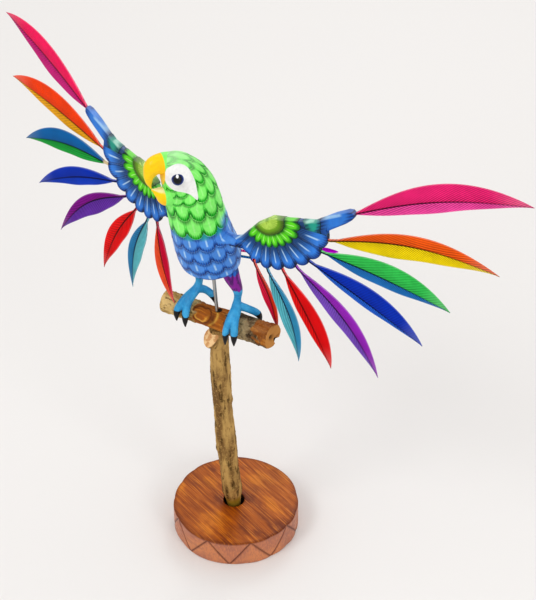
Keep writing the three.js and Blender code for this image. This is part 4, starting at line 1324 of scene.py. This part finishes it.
def barbed_paint(name, outer, inner, spacing, bare=False, pale=0.22, sheen=0.088):
    """Two-tone feather paint: barb lines slant from a dark midrib to a pale rim. The pale rim and tip are
    painted highlight.
    """
    def build(tree):
        aside, along = value_of(tree, "aside"), value_of(tree, "along")
        from_rib = calc(tree, "ABSOLUTE", aside)
        slanted = calc(tree, "MULTIPLY_ADD", from_rib, BARB_SLANT, calc(tree, "MULTIPLY", along, -1.0))
        barbs = use(tree, fine_lines(), {"Across": slanted, "Count": 2 * PI / spacing,
                                         "Waver": 1.6, "Width": -0.2})["Lines"]
        two_tone = mix(tree, step(tree, aside, -0.3, 0.3), paint(inner), paint(outer))
        shade = mix(tree, 0.85, two_tone, (0.08, 0.04, 0.1), "MULTIPLY")
        near_rib = step(tree, from_rib, 1.0, 8.0, 1.0, 0.55)
        lined = mix(tree, calc(tree, "MULTIPLY", barbs, near_rib), two_tone, shade)
        from_rim = calc(tree, "SUBTRACT", value_of(tree, "half"), from_rib)
        # Painted highlight: the rim and the tip are mixed towards white.
        light = calc(tree, "MAXIMUM", step(tree, from_rim, 0.1, 1.1, 1.3 * pale, 0.0),
                     step(tree, value_of(tree, "share"), 0.75, 1.0, 0.0, pale))
        highlighted = mix(tree, light, lined, mix(tree, 0.5, two_tone, (1, 1, 1)))
        fading = step(tree, value_of(tree, "share"), 0.4, 1.0, 0.95, 0.35)
        rib = calc(tree, "MULTIPLY", step(tree, from_rib, 0.3, 0.95, 1.0, 0.0), fading)
        color = mix(tree, rib, highlighted, mix(tree, 1.0, two_tone, (0.06, 0.02, 0.06), "MULTIPLY"))
        if bare:
            color = mix(tree, step(tree, along, 4.0, 7.0, 1.0, 0.0), color, paint("#d8c49a"))
        finish = use(tree, brushwork(), {"Color": color, "Marks": 0.25})
        height = calc(tree, "SUBTRACT", finish["Height"], calc(tree, "MULTIPLY", barbs, 0.8))
        return {"Color": finish["Color"], "Roughness": finish["Roughness"], "Height": height}
    return surface(name, build, bump=0.35, distance=0.0003, Specular_IOR_Level=sheen)


def wing_basis(side):
    outwards = unit(vec(side, WING_SWEEP, 0))
    upwards = vec(0, WING_RAKE, 1)
    upwards = unit(upwards - outwards * (upwards @ outwards))
    return outwards, upwards, np.cross(outwards, upwards)


class PARROT_OT_feathers(bpy.types.Operator):
    """Carve the loose feathers of both wings"""
    bl_idname = "parrot.feathers"
    bl_label = "Wing feathers"

    def execute(self, context):
        s = context.scene.parrot_feather
        for wing, side in (("left", 1), ("right", -1)):
            facing = wing_basis(side)[2] * side
            for k, (name, (root, tip, left, right)) in enumerate(FEATHERS.items()):
                outer_half, inner_half, bow, outer, inner = left if side > 0 else right
                u, y, v = RIGHT_TIPS.get(name, tip) if side < 0 else tip
                start = wing_point(side, *(np.array(x, float) for x in root))
                rings, values = feather_shape(start, vec(MIDLINE + side * u, y, v), facing,
                                              (outer_half, inner_half), bow, side, s, k * 1.7)
                piece = skin(f"feather_blade_{wing}_{name}", rings, **values)
                bare = wing == "right" and name == "green"
                material = barbed_paint(f"Feather {wing} {name}", outer, inner, s.barbs / MM, bare)
                slot = "feather_" + ("coral" if name == "inner" else name)
                dress(piece, material, f"feather_{wing}_{name}", slot, f"feather_{wing}_{name}")
        return {"FINISHED"}


class PARROT_OT_tail(bpy.types.Operator):
    """Carve the tail's feathers"""
    bl_idname = "parrot.tail"
    bl_label = "Tail"

    def execute(self, context):
        s = context.scene.parrot_feather
        facing = vec(0, -math.sin(TAIL_SLOPE), math.cos(TAIL_SLOPE))
        for k, (name, (fan, layer, size, half, outer, inner)) in enumerate(TAIL.items()):
            turned = math.radians(fan)
            back, down = math.cos(TAIL_SLOPE), math.sin(TAIL_SLOPE)
            along = vec(math.sin(turned), back * math.cos(turned), down * math.cos(turned))
            root = vec(MIDLINE + fan * 0.9, *TAIL_ROOT) - facing * layer * TAIL_LAYER
            rings, values = feather_shape(root, root + along * size, facing, (half, half), 0, 1, s, k,
                                          TAIL_RISE, (TAIL_FALL, TAIL_FALL))
            material = barbed_paint(f"Tail {name}", outer, inner, s.barbs / MM, pale=0.0, sheen=0.0)
            piece = skin(f"tail_blade_{name}", rings, **values)
            dress(piece, material, f"tail_{name}", f"feather_{name}", f"tail_{name}")
        return {"FINISHED"}


# ---------------------------------------------------------------- stage
CAMERA_PLACE = (0.70812, -0.92973, 1.18255)
CAMERA_TURN = (math.radians(35.72), math.radians(38.0), math.radians(-0.4))  # azimuth, pitch, roll


def lamp(name, power, size, place_at, aim):
    data = bpy.data.lights.new(name, "AREA")
    data.energy, data.shape, data.size = power, "DISK", size
    made = bpy.data.objects.new(name, data)
    made.location = place_at
    made.rotation_euler = (Vector(place_at) - Vector(aim)).to_track_quat("Z", "Y").to_euler()
    bpy.context.collection.objects.link(made)


class PARROT_OT_stage(bpy.types.Operator):
    """Set the floor, the lights and the camera"""
    bl_idname = "parrot.stage"
    bl_label = "Stage"

    def execute(self, context):
        s = context.scene.parrot_stage
        bpy.ops.mesh.primitive_plane_add(size=12)
        floor = context.object
        floor.name = "floor"

        def build(tree):
            cloudy = cloud(tree, place(tree), 1.2, 1.0)
            color = mix(tree, cloudy, tuple(s.floor), tuple(0.97 * c for c in s.floor))
            return {"Color": color, "Roughness": step(tree, cloudy, 0.0, 1.0, 0.75, 0.85), "Height": cloudy}
        floor.data.materials.append(surface("Floor", build, bump=0.0))
        world = bpy.data.worlds.new("Even light")
        world.use_nodes = True
        world.node_tree.nodes["Background"].inputs[0].default_value = (1.0, 0.99, 0.985, 1)
        world.node_tree.nodes["Background"].inputs[1].default_value = s.fill
        context.scene.world = world
        target = (0, 0, 0.28)
        lamp("key", s.key, 0.9, (-0.5, -1.5, 1.9), target)
        lamp("side", s.key * 0.5, 0.7, (1.7, -0.5, 1.1), target)
        lamp("back", s.key * 0.45, 0.9, (-0.6, 1.5, 1.5), target)
        azimuth, pitch, roll = CAMERA_TURN
        flat = math.cos(pitch)
        back = Vector((math.sin(azimuth) * flat, -math.cos(azimuth) * flat, math.sin(pitch)))
        camera = bpy.data.objects.new("camera", bpy.data.cameras.new("camera"))
        camera.location = CAMERA_PLACE
        turned = back.to_track_quat("Z", "Y").to_matrix().to_4x4()
        camera.rotation_euler = (turned @ Matrix.Rotation(roll, 4, "Z")).to_euler()
        camera.data.lens, camera.data.clip_start = s.lens, 0.01
        context.collection.objects.link(camera)
        context.scene.camera = camera
        context.scene.view_settings.view_transform = "Standard"
        context.scene.view_settings.look = "Medium High Contrast"
        return {"FINISHED"}


class PARROT_PT_panel(bpy.types.Panel):
    """Lists the parrot's pieces"""
    bl_idname = "PARROT_PT_panel"
    bl_label = "Carved Parrot"
    bl_space_type = "VIEW_3D"
    bl_region_type = "UI"
    bl_category = "Parrot"

    def draw(self, context):
        for operator in OPERATORS:
            self.layout.operator(operator.bl_idname)


SETTINGS = {"parrot_stand": StandSettings, "parrot_body": BodySettings, "parrot_wing": WingSettings,
            "parrot_feather": FeatherSettings, "parrot_stage": StageSettings}
OPERATORS = (PARROT_OT_stage, PARROT_OT_base, PARROT_OT_perch, PARROT_OT_body, PARROT_OT_legs,
             PARROT_OT_wings, PARROT_OT_feathers, PARROT_OT_tail)


def register():
    for made in (*SETTINGS.values(), *OPERATORS, PARROT_PT_panel):
        bpy.utils.register_class(made)
    for key, made in SETTINGS.items():
        setattr(bpy.types.Scene, key, bpy.props.PointerProperty(type=made))


def unregister():
    for key in SETTINGS:
        delattr(bpy.types.Scene, key)
    for made in (PARROT_PT_panel, *reversed(OPERATORS), *SETTINGS.values()):
        bpy.utils.unregister_class(made)


def main():
    register()
    for operator in OPERATORS:
        family, name = operator.bl_idname.split(".")
        getattr(getattr(bpy.ops, family), name)()


if __name__ == "__main__":
    main()
